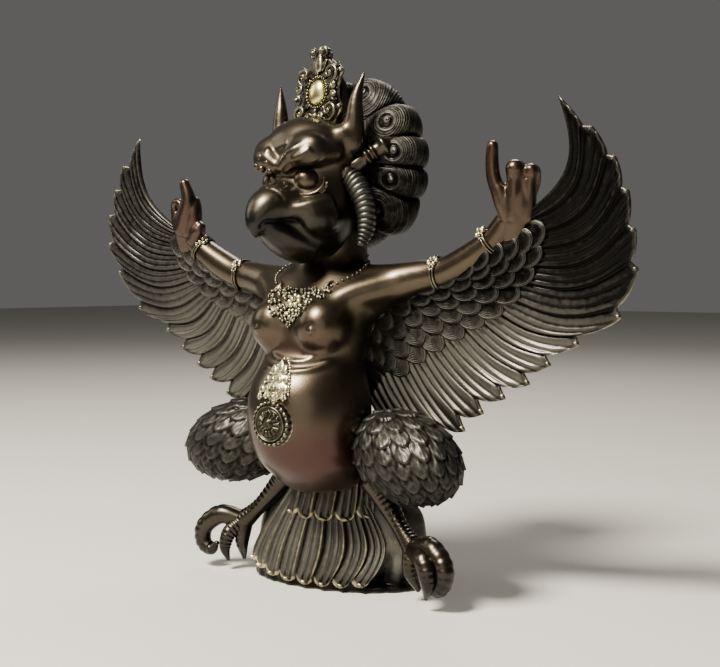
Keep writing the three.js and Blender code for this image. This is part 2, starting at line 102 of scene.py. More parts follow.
def spline(points, t):
    """A smooth curve through the points: on each stretch a cubic whose slope at a point is half the step
    between that point's neighbours. Columns can be any values that follow the same t, from 0 to 1."""
    p = np.asarray(points, float)
    if p.ndim == 1:
        return spline(p[:, None], t)[..., 0]
    last = len(p) - 1
    place = np.clip(t, 0, 1) * last
    i = np.minimum(place.astype(int), last - 1)
    f = (place - i)[..., None]
    ends = np.vstack([2 * p[0] - p[1], p, 2 * p[-1] - p[-2]])
    a, b, c, d = (ends[i + k] for k in range(4))
    return b + 0.5 * f * (c - a + f * (2 * a - 5 * b + 4 * c - d + f * (3 * b - a - 3 * c + d)))


def grid(points):
    """Faces between neighbouring rows and columns of a grid of points, closed round the columns."""
    rows, cols = points.shape[:2]
    r = np.arange(rows - 1)[:, None] * cols
    c = np.arange(cols)[None, :]
    n = (c + 1) % cols
    faces = np.stack([r + c, r + n, r + cols + n, r + cols + c], -1).reshape(-1, 4)
    return points.reshape(-1, 3), faces


def capped(points):
    """A grid closed round its columns, with each end ring drawn in to its own middle."""
    middles = np.repeat(points.mean(1, keepdims=True), points.shape[1], 1)
    return grid(np.concatenate([middles[:1], points, middles[-1:]]))


def together(shapes):
    """Several shapes as one."""
    starts = np.cumsum([0] + [len(points) for points, _ in shapes])
    return (
        np.vstack([points for points, _ in shapes]),
        np.vstack([faces + start for (_, faces), start in zip(shapes, starts)]),
    )


def mirrored(shape):
    """The same shape on the figure's other side: x becomes -x."""
    return shape[0] * (-1, 1, 1), shape[1][:, ::-1]


def pair(*shapes):
    """The shapes and their mirror images."""
    return [*shapes, *[mirrored(shape) for shape in shapes]]


def moved(shape, matrix, offset):
    """A shape turned by a matrix and then shifted."""
    return shape[0] @ np.asarray(matrix).T + offset, shape[1]


def one_side(points):
    """The points, with those on the figure's right brought over to its left."""
    return np.column_stack([np.abs(points[:, 0]), points[:, 1:]])


def turned(degrees):
    """A turn about the upright axis."""
    c, s = math.cos(math.radians(degrees)), math.sin(math.radians(degrees))
    return np.array(((c, -s, 0), (s, c, 0), (0, 0, 1)))


def ovals(table, rows, around, ripple=None):
    """A body of level ovals. At t its height, half-width, front and back come from the table, and its
    point at angle a is (half cos a, middle + depth sin a, height). ripple(t, a) stands out from it."""
    t = np.linspace(0, 1, rows)
    z, half, front, back = spline(table, t).T[..., None]
    a = round_turn(around)
    out = 0 if ripple is None else ripple(t[:, None], a)
    depth = (back - front) / 2
    x = (half + out) * np.cos(a)
    y = (front + back) / 2 + (depth + out) * np.sin(a)
    return capped(np.stack([x, y, z + 0 * a], -1))


def tube(path, radii, around=24, rows=60, across=UP, flat=1.0, relief=None):
    """A limb along a smooth curve: path(t) + r(t) (wide cos a + flat deep sin a). Each end is a dome of
    the limb's own radius. relief(t, a) is added to the radius, with a = 90 degrees on the deep side."""
    bend = np.linspace(0, 1, DOME_RINGS + 1)[1:]
    t = np.concatenate([np.zeros(DOME_RINGS), np.linspace(0, 1, rows), np.ones(DOME_RINGS)])
    lift = np.concatenate([-bend[::-1], np.zeros(rows), bend])
    shrink = np.concatenate([np.sqrt(1 - bend[::-1] ** 2), np.ones(rows), np.sqrt(1 - bend**2)])
    small = 1e-3
    along = unit(spline(path, t + small) - spline(path, t - small))
    wide = unit(np.cross(across, along))
    deep = np.cross(along, wide)
    r = np.maximum(spline(radii, t), 0.05)
    a = round_turn(around)
    out = 0 if relief is None else relief(t[:, None], a)
    size = ((r[:, None] + out) * shrink[:, None])[..., None]
    centre = spline(path, t) + along * (lift * r)[:, None]
    ring = wide[:, None] * np.cos(a)[..., None] + flat * deep[:, None] * np.sin(a)[..., None]
    return grid(centre[:, None] + size * ring)


def ball(at, along, half_long, half_wide, half_deep, rows=12, around=20):
    """A ball stretched to three half-sizes, its long axis along a direction."""
    axis = unit(along)
    level, deep = level_and_deep(axis)
    p = np.linspace(0, math.pi, rows)[:, None, None]
    a = round_turn(around)[..., None]
    points = (
        axis * half_long * np.cos(p)
        + level * half_wide * np.sin(p) * np.cos(a)
        + deep * half_deep * np.sin(p) * np.sin(a)
    )
    return grid(points + at)


def bead(at, radius):
    """A small round grain with few faces."""
    return ball(at, UP, radius, radius, radius, 7, 10)


def petal(at, along, out, length, width):
    """A leaf with a point at its far end and a groove down its middle: half-width (1 - s^2)(1 - s / 3)."""
    along, out, across = squared(along, out)
    s = np.linspace(-1, 1, 13)[:, None]
    a = round_turn(12)
    half = width * (1 - s**2) ** 0.6 * (1 - s / 3)
    x = half * np.cos(a)
    lift = 0.55 * half * np.sin(a) * (1 - 0.45 * ridge(x / width, 0.25) * (np.sin(a) > 0))
    return grid(at + along * (length * s)[..., None] + across * x[..., None] + out * lift[..., None])


def rosette(at, out, radius, petals=5):
    """A little flower: petals round a middle grain, all on a plane that faces out."""
    out = unit(out)
    level, deep = level_and_deep(out)
    shapes = [bead(at + out * radius * 0.4, radius * 0.36)]
    for turn in 0.3 + np.arange(petals) * 2 * math.pi / petals:
        way = -level * math.cos(turn) - deep * math.sin(turn)
        shapes.append(ball(at + way * radius * 0.66, way, radius * 0.4, radius * 0.32, radius * 0.4, 7, 8))
    return shapes


# Meshes


def new_mesh(name, points, faces, marks=None):
    """A mesh from arrays, with its doubles merged and its faces turned outwards."""
    mesh = bpy.data.meshes.new(name)
    mesh.vertices.add(len(points))
    mesh.vertices.foreach_set("co", (points * MM).astype(np.float32).ravel())
    mesh.loops.add(faces.size)
    mesh.loops.foreach_set("vertex_index", faces.astype(np.int32).ravel())
    mesh.polygons.add(len(faces))
    mesh.polygons.foreach_set("loop_start", np.arange(0, faces.size, 4, dtype=np.int32))
    mesh.update(calc_edges=True)
    for key, values in (marks or {}).items():
        mark(mesh, key, values)
    shell = bmesh.new()
    shell.from_mesh(mesh)
    bmesh.ops.remove_doubles(shell, verts=shell.verts, dist=2e-6)
    bmesh.ops.recalc_face_normals(shell, faces=shell.faces)
    shell.to_mesh(mesh)
    shell.free()
    return mesh


def places(mesh):
    """The mesh's points and their outward directions, in millimetres."""
    points = np.empty(len(mesh.vertices) * 3, np.float32)
    normals = np.empty(len(mesh.vertices) * 3, np.float32)
    mesh.vertices.foreach_get("co", points)
    mesh.vertex_normals.foreach_get("vector", normals)
    return points.reshape(-1, 3).astype(float) / MM, normals.reshape(-1, 3).astype(float)


def put(mesh, points):
    """Moves the mesh's points to new places."""
    mesh.vertices.foreach_set("co", (points * MM).astype(np.float32).ravel())
    mesh.update()


def softened(mesh, values, rounds):
    """Values at the points, each round the average of a point's neighbours and itself."""
    ends = np.empty(len(mesh.edges) * 2, np.int32)
    mesh.edges.foreach_get("vertices", ends)
    a, b = ends.reshape(-1, 2).T
    count = len(mesh.vertices)
    share = 1 + np.bincount(a, minlength=count) + np.bincount(b, minlength=count)
    values = values.reshape(count, -1).copy()
    for _ in range(rounds):
        for column in values.T:
            near = np.bincount(a, column[b], count) + np.bincount(b, column[a], count)
            column[:] = (near + column) / share
    return values


def mark(mesh, key, values):
    """Keeps a value for each point, which a finish can read."""
    layer = mesh.attributes.new(key, "FLOAT", "POINT")
    layer.data.foreach_set("value", values.astype(np.float32).ravel())


def rubbed(mesh, rounds, depth):
    """Marks how far each point stands out of its surroundings: 0 in a recess, 0.5 on a plain surface and 1
    on an edge or ridge, where the patina is rubbed away."""
    points, normals = places(mesh)
    stands = ((points - softened(mesh, points, rounds)) * normals).sum(1)
    stands = softened(mesh, stands, 2)[:, 0]
    mark(mesh, "rubbed", np.clip(0.5 + 0.5 * stands / depth, 0, 1))


def shaded(base, more, start, stop, axis=2):
    """A share of second patina and painted shade that grows past a place along an axis: base + more
    step(start, stop, place).
    """
    return lambda points: base + more * step(start, stop, points[:, axis])


def cast(name, shapes, metal, voxel=0, soften=0, carve=None, warm=None, rounds=6, depth=0.25, marks=None):
    """A piece of the casting. With a voxel size, its shapes are fused into one skin, which is softened and
    then carved by carve(points), a height in millimetres along the outward direction. The mark of second
    patina and painted shade, one number or a function of the points, says how far the finish's second
    patina takes over and how far painted shade darkens the piece. Wear is found from the average over so
    many rounds of neighbours, and is full where a point stands out by the depth."""
    points, faces = together(shapes)
    mesh = new_mesh(name, points, faces, marks)
    piece = bpy.data.objects.new(name, mesh)
    bpy.context.scene.collection.objects.link(piece)
    if voxel:
        fuse = piece.modifiers.new("fuse", "REMESH")
        fuse.mode = "VOXEL"
        fuse.voxel_size = voxel * MM
        graph = bpy.context.evaluated_depsgraph_get()
        piece.data = bpy.data.meshes.new_from_object(piece.evaluated_get(graph))
        piece.modifiers.clear()
        bpy.data.meshes.remove(mesh)
        mesh = piece.data
        mesh.name = name
    if soften:
        put(mesh, softened(mesh, places(mesh)[0], soften))
    if carve:
        points, normals = places(mesh)
        put(mesh, points + normals * carve(points)[:, None])
    rubbed(mesh, rounds, depth)
    # The mark of second patina and of painted shade that the finish reads.
    if warm is not None:
        share = warm(places(mesh)[0]) if callable(warm) else np.full(len(mesh.vertices), warm)
        mark(mesh, "warm", np.clip(share, 0, 1))
    mesh.shade_smooth()
    mesh.materials.clear()
    mesh.materials.append(metal)
    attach(piece, "root")
    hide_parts(NODE)


def fold(points, line, width, height, samples=60):
    """A fold or, with a negative height, a groove along a line: height exp(-(distance / width)^2), and
    it fades out at the line's ends."""
    near = np.full(len(points), np.inf)
    place = np.zeros(len(points))
    for t in np.linspace(0, 1, samples):
        gap = np.linalg.norm(points - spline(line, np.array([t]))[0], axis=1)
        place = np.where(gap < near, t, place)
        near = np.minimum(near, gap)
    return height * ridge(near, width) * step(0, 0.15, place) * step(0, 0.15, 1 - place)


def dimple(points, at, radius):
    """exp(-(distance / radius)^2) from a point."""
    return ridge(np.linalg.norm(points - at, axis=1), radius)


# Colours and finishes


def linear(code):
    """An sRGB hex colour as linear red, green, blue and alpha."""
    values = [int(code[i : i + 2], 16) / 255 for i in (0, 2, 4)]
    return (*[v / 12.92 if v <= 0.04045 else ((v + 0.055) / 1.055) ** 2.4 for v in values], 1.0)


def colour(name, description, code):
    """A colour setting of the add-on, from its sRGB hex code."""
    return bpy.props.FloatVectorProperty(
        name=name, description=description, default=linear(code), size=4, min=0.0, max=1.0, subtype="COLOR"
    )


def length(name, description, size):
    """A length setting of the add-on, from its size in millimetres."""
    return bpy.props.FloatProperty(
        name=name, description=description, default=size * MM, min=0.0, subtype="DISTANCE", unit="LENGTH"
    )


class GarudaColours(bpy.types.PropertyGroup):
    """Colours of the bronze and of the stage."""

    # Real black patina in recesses, and also the painted shade that darkens feathers, curls and bands where
    # a piece marks it.
    recess_patina_and_painted_shade: colour("Hollows", "Thick black patina left in every recess", "060504")
    skin: colour("Skin", "Smooth patina of the body, the head and the limbs", "4B4336")
    # Laid as painted floor reflection and painted shade low on the belly and under the breasts; it also
    # reddens the hands and wrists.
    red_patina_and_painted_shade: colour("Red patina", "Redder patina, strongest low on the belly", "432E2B")
    plumage: colour("Plumage", "Warm grey patina of the feathers and curls", "585650")
    # Laid as painted shade high on the wings, low on the curls, thighs and toes, under the beak, at the
    # tail's foot and feather tips and behind the arm bands; a little of it lies all over many pieces as
    # their own darker patina.
    dark_patina_and_painted_shade: colour("Dark plumage", "Sooty patina high on the wings and low on the curls", "252423")
    worn: colour("Worn skin", "Bare metal on the body's edges", "857658")
    worn_plumage: colour("Worn plumage", "Bare metal on the feathers' ridges", "C6BA94")
    ornament: colour("Ornament", "Metal of the crown, necklace, bands and medallion", "39352B")
    worn_ornament: colour("Worn ornament", "Its rubbed points", "D6CFAF")
    jewel: colour("Cabochon", "Polished stone-shaped boss on the crown", "DED58A")
    floor: colour("Floor", "Matt floor under the figure", "B4B2AE")
    lamp: colour("Lamps", "Warm light of the lamps", "FFF8E8")
    room: colour("Room light", "Soft light from all round", "CFCCC8")


class GarudaSizes(bpy.types.PropertyGroup):
    """Sizes of the carving."""

    feather_relief: length("Feather relief", "How far a long feather stands out at its lower edge", 1.3)
    cord_depth: length("Cord depth", "Depth of the grooves along a feather", 0.62)
    covert_length: length("Covert length", "Length of a small overlapping wing feather", 14.0)
    covert_width: length("Covert width", "Width of a small overlapping wing feather", 11.0)
    leaf_width: length("Thigh feather width", "Width of a thigh feather", 7.0)
    strand_pitch: length("Strand pitch", "Distance between two strands of a curl", 0.95)
    strand_depth: length("Strand depth", "Depth of the grooves between locks of two strands", 0.16)
    rib_depth: length("Rib depth", "Depth of the grooves across the side bands of the head", 0.8)
    scute_depth: length("Scute depth", "Depth of the grooves across shanks and toes", 0.4)
    chain_bead: length("Chain bead radius", "Radius of a grain of the neck chain", 0.62)
    floor_side: length("Floor side", "Side of the square floor", 8000.0)


def sizes():
    """The add-on's size settings."""
    return bpy.context.scene.garuda_sizes


def add(tree, kind, inputs=(), **settings):
    """Adds a node, with its settings, and its sockets either set or linked."""
    node = tree.nodes.new(kind)
    for key, value in settings.items():
        setattr(node, key, value)
    for key, value in dict(inputs).items():
        if isinstance(value, bpy.types.NodeSocket):
            tree.links.new(value, node.inputs[key])
        else:
            node.inputs[key].default_value = value
    return node


def per_mm(size):
    """A pattern scale for features of a size in millimetres."""
    return 1 / (size * MM)


def blend(tree, share, a, b):
    """A colour between two, by a share from 0 to 1."""
    return add(tree, "ShaderNodeMix", {0: share, 6: a, 7: b}, data_type="RGBA").outputs[2]


def ramp(tree, value, low, high, bottom=0.0, top=1.0):
    """bottom below low, top above high and smooth between."""
    inputs = {0: value, 1: low, 2: high, 3: bottom, 4: top}
    return add(tree, "ShaderNodeMapRange", inputs, interpolation_type="SMOOTHSTEP").outputs[0]


MOTTLE, SPECKLE, PITS, FIBRE = 24, 2.2, 0.7, 1.5


def bronze(name, recess_patina_and_painted_shade, patina, second, worn, roughness, wear, painted_shade_strength, grain, coat, barbs):
    """Lost-wax cast bronze, patinated dark and waxed. The patina stays thick and dull in the hollows, and
    has rubbed away on what stands out, so that carved edges glint pale beside near-black grooves. Two
    patinas drift into each other in a broad mottle, and a speckle makes the wear uneven. Where a piece
    marks painted shade, the surface darkens into the second patina and, by as much as the finish gives,
    towards the recesses' black, and its wear is hidden."""
    material = bpy.data.materials.new(name)
    material.use_nodes = True
    tree = material.node_tree
    tree.nodes.clear()
    place = add(tree, "ShaderNodeTexCoord").outputs["Object"]
    stands = add(tree, "ShaderNodeAttribute", attribute_name="rubbed").outputs["Fac"]
    # Each piece's mark of second patina and painted shade.
    warm = add(tree, "ShaderNodeAttribute", attribute_name="warm").outputs["Fac"]

    def noise(size, detail):
        """Cloudy noise with features of a size in millimetres."""
        inputs = {"Vector": place, "Scale": per_mm(size), "Detail": detail, "Roughness": 0.6}
        return add(tree, "ShaderNodeTexNoise", inputs).outputs["Fac"]

    def times_plus(value, factor, more):
        """value factor + more."""
        inputs = {0: value, 1: factor, 2: more}
        return add(tree, "ShaderNodeMath", inputs, operation="MULTIPLY_ADD").outputs[0]

    mottle = noise(MOTTLE, 5.0)
    speckle = noise(SPECKLE, 3.0)
    pits = noise(PITS, 2.0)
    shown = times_plus(speckle, 0.3, stands)
    shown = add(tree, "ShaderNodeMath", {0: shown, 1: 0.15}, operation="SUBTRACT").outputs[0]
    # Painted shade: where a piece marks it, the surface is pushed towards the recesses' black and its wear
    # is hidden.
    shown = times_plus(warm, -painted_shade_strength, shown)
    # The same mark blends in the second patina, which is also the colour of the painted shade.
    drift = times_plus(warm, 0.85, ramp(tree, mottle, 0.42, 0.68, 0.0, 0.3))
    patinas_and_painted_shade = blend(tree, drift, patina, second)
    # Recesses, and places of painted shade, go to the recesses' black.
    body = blend(tree, ramp(tree, shown, 0.16, 0.44), recess_patina_and_painted_shade, patinas_and_painted_shade)
    tone = blend(tree, ramp(tree, shown, *wear), body, worn)
    dull = ramp(tree, shown, 0.2, 0.6, roughness + 0.2, roughness)
    dull = times_plus(speckle, 0.12, dull)
    height = times_plus(mottle, 2.0, pits)
    if barbs:
        barb = add(tree, "ShaderNodeAttribute", attribute_name="barb").outputs["Fac"]
        wave = add(tree, "ShaderNodeMath", {0: barb, 1: 2 * math.pi}, operation="MULTIPLY").outputs[0]
        comb = add(tree, "ShaderNodeMath", {0: wave}, operation="SINE").outputs[0]
        height = times_plus(comb, barbs, height)
    relief = {"Height": height, "Strength": 1.0, "Distance": grain * MM}
    bump = add(tree, "ShaderNodeBump", relief).outputs[0]
    surface = {
        "Base Color": tone,
        "Metallic": 1.0,
        "Roughness": dull,
        "Normal": bump,
        "Coat Weight": coat,
        "Coat Roughness": 0.2,
    }
    shader = add(tree, "ShaderNodeBsdfPrincipled", surface)
    add(tree, "ShaderNodeOutputMaterial", {"Surface": shader.outputs[0]})
    return material


SKIN = "polished_patinated_bronze"
DARK = "polished_dark_bronze"
PLUMAGE = "chased_patinated_bronze"
COMBED = "combed_patinated_bronze"
ORNAMENT = "rubbed_bronze_ornament"
BARE = "polished_bare_bronze"

# Each finish has its patina, second patina and worn metal, and then its roughness, how far a point stands
# out where wear starts and where it is full, how far its painted shade darkens it to the recesses' black
# and hides the wear, the depth of its grain in millimetres, its coat of wax, and how strongly its barbs
# stand out.

FINISHES = {
    SKIN: ("skin", "red_patina_and_painted_shade", "worn", 0.26, (0.82, 1.3), 0, 0.04, 0.2, 0),
    DARK: ("skin", "dark_patina_and_painted_shade", "worn", 0.27, (0.82, 1.3), 0, 0.04, 0.2, 0),
    PLUMAGE: ("plumage", "dark_patina_and_painted_shade", "worn_plumage", 0.31, (0.56, 0.95), 0.42, 0.06, 0.12, 0.08),
    COMBED: ("plumage", "dark_patina_and_painted_shade", "worn_plumage", 0.36, (0.7, 1.2), 0.42, 0.1, 0.06, 0.85),
    ORNAMENT: ("ornament", "dark_patina_and_painted_shade", "worn_ornament", 0.27, (0.55, 1.0), 0.5, 0.03, 0.15, 0),
    BARE: ("jewel", "jewel", "jewel", 0.2, (0.9, 1.2), 0, 0.03, 0.3, 0),
}


def finish(name):
    """One of the figure's bronze finishes, made when it is first asked for."""
    tones = bpy.context.scene.garuda_colours
    patina, second, worn, *rest = FINISHES[name]
    metals = (getattr(tones, key) for key in ("recess_patina_and_painted_shade", patina, second, worn))
    return bpy.data.materials.get(name) or bronze(name, *metals, *rest)


def plain(name, tone, roughness):
    """Matt painted card, as a photographer lays under a small object."""
    material = bpy.data.materials.new(name)
    material.use_nodes = True
    tree = material.node_tree
    place = add(tree, "ShaderNodeTexCoord").outputs["Object"]
    pattern = {"Vector": place, "Scale": per_mm(FIBRE), "Detail": 3.0}
    fibre = add(tree, "ShaderNodeTexNoise", pattern).outputs["Fac"]
    shader = tree.nodes["Principled BSDF"]
    shader.inputs["Base Color"].default_value = tone
    shader.inputs["Roughness"].default_value = roughness
    bump = add(tree, "ShaderNodeBump", {"Height": fibre, "Strength": 0.3, "Distance": 0.05 * MM}).outputs[0]
    tree.links.new(bump, shader.inputs["Normal"])
    return material


# Body. Each row of a table of level ovals has a height, a half-width, a front and a back.

TORSO = (
    (40, 13, -22, 10), (47, 18, -31, 10), (54, 22, -37.5, 10), (63, 24.3, -40.8, 9.5),
    (72, 24.8, -41.5, 9), (81, 24, -39.8, 8), (88, 22, -36, 7), (92, 20.8, -32.5, 6.5),
    (98, 21.5, -29.5, 7), (106, 23, -29, 8), (114, 24.5, -26, 8.5), (121, 26, -21.5, 7.5),
    (127, 23, -17.5, 8.5), (131, 17, -15, 10.5), (136, 15.2, -13.5, 11.5), (147, 15, -14, 11),
)
ARM = (
    (17, -2, 120), (30, -0.8, 122.5), (41, 0.5, 125), (47.5, 0.8, 126.1), (53, 0.9, 127),
    (62.3, 0.8, 131.2), (71.9, 0.3, 137), (76.7, 0, 141), (81, -0.8, 146),
)
ARM_RADII = (10.8, 8.6, 7.2, 6.6, 6.4, 6.4, 5.8, 5.6, 5.4)
BREAST = (11.2, -21.4, 106.4)
NIPPLE = (13.4, -32.2, 104.8)
UPPER_FOLD = ((-11, -29.5, 96.4), (0, -31.5, 93.2), (9, -30.5, 93.4), (17, -24, 97.2))
LOWER_FOLD = ((-13, -30, 91.5), (0, -34.5, 89.2), (11, -31.5, 89.8), (19, -22, 93.4))


def torso_and_arms(metal):
    """Belly, chest, breasts, shoulders and arms, fused and smoothed into one soft body."""
    shapes = [ovals(TORSO, 140, 120)]
    shapes += pair(
        ball(BREAST, (0.1, -1, -0.35), 12, 11.2, 11.6, 40, 60),
        tube(ARM, ARM_RADII, 48, 120),
        ball((19, -4, 118), (1, 0.1, 0.1), 12.4, 9, 9.6, 30, 40),
        tube(((11, -22, 112), (19, -14, 118), (31, -4, 122.5)), (5.4, 6, 6), 30, 60),
    )

    def carve(points):
        """Small nipples, and skin folds round the top of the belly."""
        own = one_side(points)
        ring = ridge(np.linalg.norm(own - NIPPLE, axis=1) - 2.4, 0.6)
        folds = fold(points, UPPER_FOLD, 1.3, 0.9) + fold(points, LOWER_FOLD, 1.2, 0.8)
        return 0.8 * dimple(own, NIPPLE, 1.2) - 0.3 * ring + folds

    def warm(points):
        """Painted reflection of the floor and painted shade, redder and darker, low on the belly; painted
        shade under the breasts; and redder wrists, to meet the hands.
        """
        # Painted floor reflection and painted shade, redder and darker, low on the belly.
        low = step(76, 60, points[:, 2])
        wrists = 0.5 * step(62, 78, np.abs(points[:, 0]))
        # Painted shade in a band under the breasts, on the front.
        return np.maximum(low + wrists, 0.6 * ridge(points[:, 2] - 99, 4) * step(-20, -28, points[:, 1]))

    cast("torso_and_arms", shapes, metal, voxel=1.0, soften=15, carve=carve, warm=warm, rounds=7, depth=0.5)


# Head: drawn in its own frame, +X to the figure's left, -Y out over the beak, origin on the neck's axis at
# eye height, and turned a little to the figure's right.

HEAD_TURN = turned(-8)
HEAD_AT = np.array((0, -9, 164))


def on_head(shapes):
    """Shapes of the head's own frame, put on the figure."""
    return [moved(shape, HEAD_TURN, HEAD_AT) for shape in shapes]


def to_head(points):
    """Figure points in the head's own frame."""
    return (points - HEAD_AT) @ HEAD_TURN


SKULL = (
    (-31, 8, -12, 9), (-26, 12, -20, 12), (-18, 16.5, -25, 14), (-9, 18.5, -24, 15),
    (0, 19, -20, 16), (8, 19.5, -21, 16), (15, 18.5, -19, 15), (20, 14, -13, 11), (23, 7, -6, 5),
)
BEAK = (
    (-13, -10.5, 12, 10), (-22, -10.8, 10.8, 9), (-28.6, -12.6, 9.0, 7.8), (-32.6, -16, 6.4, 5.5),
    (-34.4, -20.2, 3.8, 3.4), (-34.6, -24.2, 1.2, 1.2),
)
JAW = (
    (-10, -27, 11, 7), (-20, -24.5, 10, 6), (-28, -20.8, 6.8, 4.8), (-33.5, -19.4, 2.6, 2.4),
)
EYE = np.array((9.2, -16.2, -1.2))
EYE_OUT = unit((0.6, -0.8, 0.0))
TOPKNOT = (
    (16, 12, -2, 13), (26, 11, 0.5, 13), (36, 8.5, 3, 12), (48, 1.8, 4, 7.5),
)
FAR_BROW_CURLS = (
    (-5, -24.6, 5.6, 1.9), (-8.5, -24.6, 8, 2.3), (-12.6, -22.4, 9.4, 2.5), (-16, -18.6, 9.6, 2.5),
    (-4.6, -23.6, 2.6, 1.6), (-8.2, -24.6, 3.6, 1.9), (-12.4, -23.2, 5, 2.1),
)
BROW_RIDGE = ((2.5, -21.4, 4.4), (8, -20.8, 7.6), (14, -16.6, 8.6), (17.2, -10, 9.5))
CHEEK_FOLD = ((7, -25.4, -13.4), (11.4, -21.8, -12.8), (15, -18, -11.4), (17.2, -13, -9.6))
HORN = ((18.6, -1.5, 14), (21, -2, 22), (21.6, -1.6, 30.5), (24, 0.5, 40.6))
MOUTH = ((2.7, -35.6, -21.4), (4.8, -33.6, -18), (5.8, -28, -17.2), (9, -22, -17.2), (13.6, -15.6, -18.4))
LIP = ((2.6, -35, -18.8), (6.8, -28, -15.2), (10.4, -21.6, -15.2), (14.6, -14.6, -16.4))
MOUTH_CORNER = ((11.4, -18, -20.6), (13.4, -14.4, -20.4))
CERE = ((0, -30.4, -3), (2.7, -29.4, -5.4), (6.4, -28, -8.1), (9.6, -26.6, -11.4))
NOSTRIL = (6.2, -30.2, -9.6)
CHEEK_BUMP = (19.4, -9.4, -14.1)
EAR = ((17.5, -0.5, 3.4), (23, 4, 8.5), (27.5, 8.5, 12.5), (32.5, 14.5, 17))
SIDE_BAND = (
    (19, -4.4, 2), (21.2, -2, -2), (23, 0.6, -8), (23.6, 2, -14.4), (22.6, 2.6, -20.4),
    (20.4, 2.6, -25.2),
)
FROWN = (
    (((6.5, -24.6, 7.6), (10.6, -23.4, 10), (13.4, -18.4, 12.6)), 1.5, 0.8),
    (((9.5, -24.6, 5.4), (13.2, -23.4, 7), (16.4, -19.8, 10)), 1.4, 0.8),
    (((8, -24.6, 6.4), (12, -23.4, 8.5), (15, -19.2, 11.4)), 0.7, -0.5),
    (((-7, -23.5, 11), (-2, -22.8, 11.6), (5, -21.2, 13)), 1.6, 0.7),
    (((16, -20.4, 4.4), (18, -18.4, 6.8), (19.2, -16.4, 10.4)), 0.6, 0.4),
    (((17.2, -18.6, 3.6), (19, -16.4, 6.4), (20, -14.2, 9.6)), 0.6, 0.4),
)


def muzzle(table, upright):
    """A muzzle or beak from a table of y, z, half-width and half-height. Its ovals stand across the path,
    or straight up when upright is true."""
    y, z, half, tall = spline(table, np.linspace(0, 1, 60)).T
    path = np.stack([0 * y, y, z], -1)
    along = unit(np.gradient(path, axis=0))
    deep = np.tile(UP, (60, 1)) if upright else np.cross(along, SIDE)
    a = round_turn(48)[..., None]
    ring = SIDE * half[:, None, None] * np.cos(a) + deep[:, None] * tall[:, None, None] * np.sin(a)
    return capped(path[:, None] + ring)


def lid(start, stop, across, tall, out, radius):
    """A rim round the eye from one angle to another, at some distance from its middle."""
    level = unit(np.cross(EYE_OUT, UP))
    a = np.radians(np.linspace(start, stop, 9))[:, None]
    path = EYE + EYE_OUT * out - level * across * np.cos(a) + UP * tall * np.sin(a)
    return tube(path, (radius * 0.5, radius, radius * 0.5), 12, 60)


def head(metal):
    """Skull, domed brow, horns, cheeks, beak and jaw, fused; the mouth, folds and nostrils are carved. A
    little dark patina lies all over, and painted shade darkens it under the beak, on the jaw and on the
    neck."""
    shapes = [ovals(SKULL, 90, 90), muzzle(BEAK, False), muzzle(JAW, True), ovals(TOPKNOT, 60, 60)]
    shapes.append(ball((0, -8.5, 12), (1, 0, 0), 18.6, 13, 12.4, 50, 60))
    shapes += pair(
        tube(BROW_RIDGE, (3, 4.8, 5.2, 4.4), 24, 50),
        tube(CHEEK_FOLD, (2.6, 3.2, 3.3, 3), 24, 50),
        tube(HORN, (5.6, 3.9, 2.7, 0.8), 28, 60, FRONT),
        ball((16, -5, 15.5), (1, 0.3, 0.2), 7, 5.4, 5, 20, 30),
        ball((8.6, -14.2, 11.6), (1, -0.3, -0.1), 11, 8, 6.6, 24, 30),
        ball((11.6, -10.5, -14.5), (0.3, -1, -0.1), 12, 7.8, 8.4, 24, 30),
    )

    def carve(points):
        """The mouth with its lip and corners, the frown, the cere's edge, nostrils and cheek bumps."""
        own = to_head(points)
        sided = one_side(own)
        height = fold(sided, MOUTH, 0.8, -1.2) + fold(sided, LIP, 1.1, 0.4)
        height += fold(sided, MOUTH_CORNER, 0.8, 0.7)
        height += sum(fold(own, line, width, tall) for line, width, tall in FROWN)
        height += fold(sided, CERE, 0.6, 0.6) + fold(sided + (0, 0.8, -1.2), CERE, 0.7, -0.5)
        return height - dimple(sided, NOSTRIL, 0.9) + 0.5 * dimple(sided, CHEEK_BUMP, 0.7)

    # Painted shade under the beak, on the jaw and the neck, over a little dark patina everywhere.
    dark = shaded(0.3, 0.65, 156, 146)
    cast("head", on_head(shapes), metal, voxel=0.56, soften=17, carve=carve, warm=dark, rounds=8, depth=0.5)


def brow_and_lids(metal):
    """Eyes with a lower lid and a second fold below it, a small tear-shaped bump outside each, and the
    curls of the far brow."""
    shapes = pair(
        ball(EYE - EYE_OUT * 0.4, EYE_OUT, 5.4, 5.2, 5.0, 30, 36),
        lid(184, 364, 7.4, 6.0, 3.7, 0.62),
        lid(190, 350, 8.4, 7.6, 2.2, 1.2),
        ball((17.2, -13.4, -3.4), (0.2, 0.3, 1), 1.7, 1.0, 1.0, 10, 12),
    )
    for x, y, z, radius in FAR_BROW_CURLS:
        size = 0.8 * radius
        shapes.append(ball((x, y + 0.9, z), UP, size, size, size, 10, 14))
    cast("eyes_and_lids", on_head(shapes), metal, rounds=3, depth=0.5)


def ears(metal):
    """Ears like horns with raised collars round them."""

    def collars(t, a):
        """Three raised rings, the same all round."""
        return 1.1 * ridge(t - 0.3, 0.045) + 1.0 * ridge(t - 0.42, 0.035) + 1.2 * ridge(t - 0.64, 0.06)

    ear = tube(EAR, (3.4, 2.8, 3.1, 0.7), 22, 100, UP, 1, collars)
    cast("ears", on_head(pair(ear)), metal, warm=0.4, rounds=3, depth=0.5)


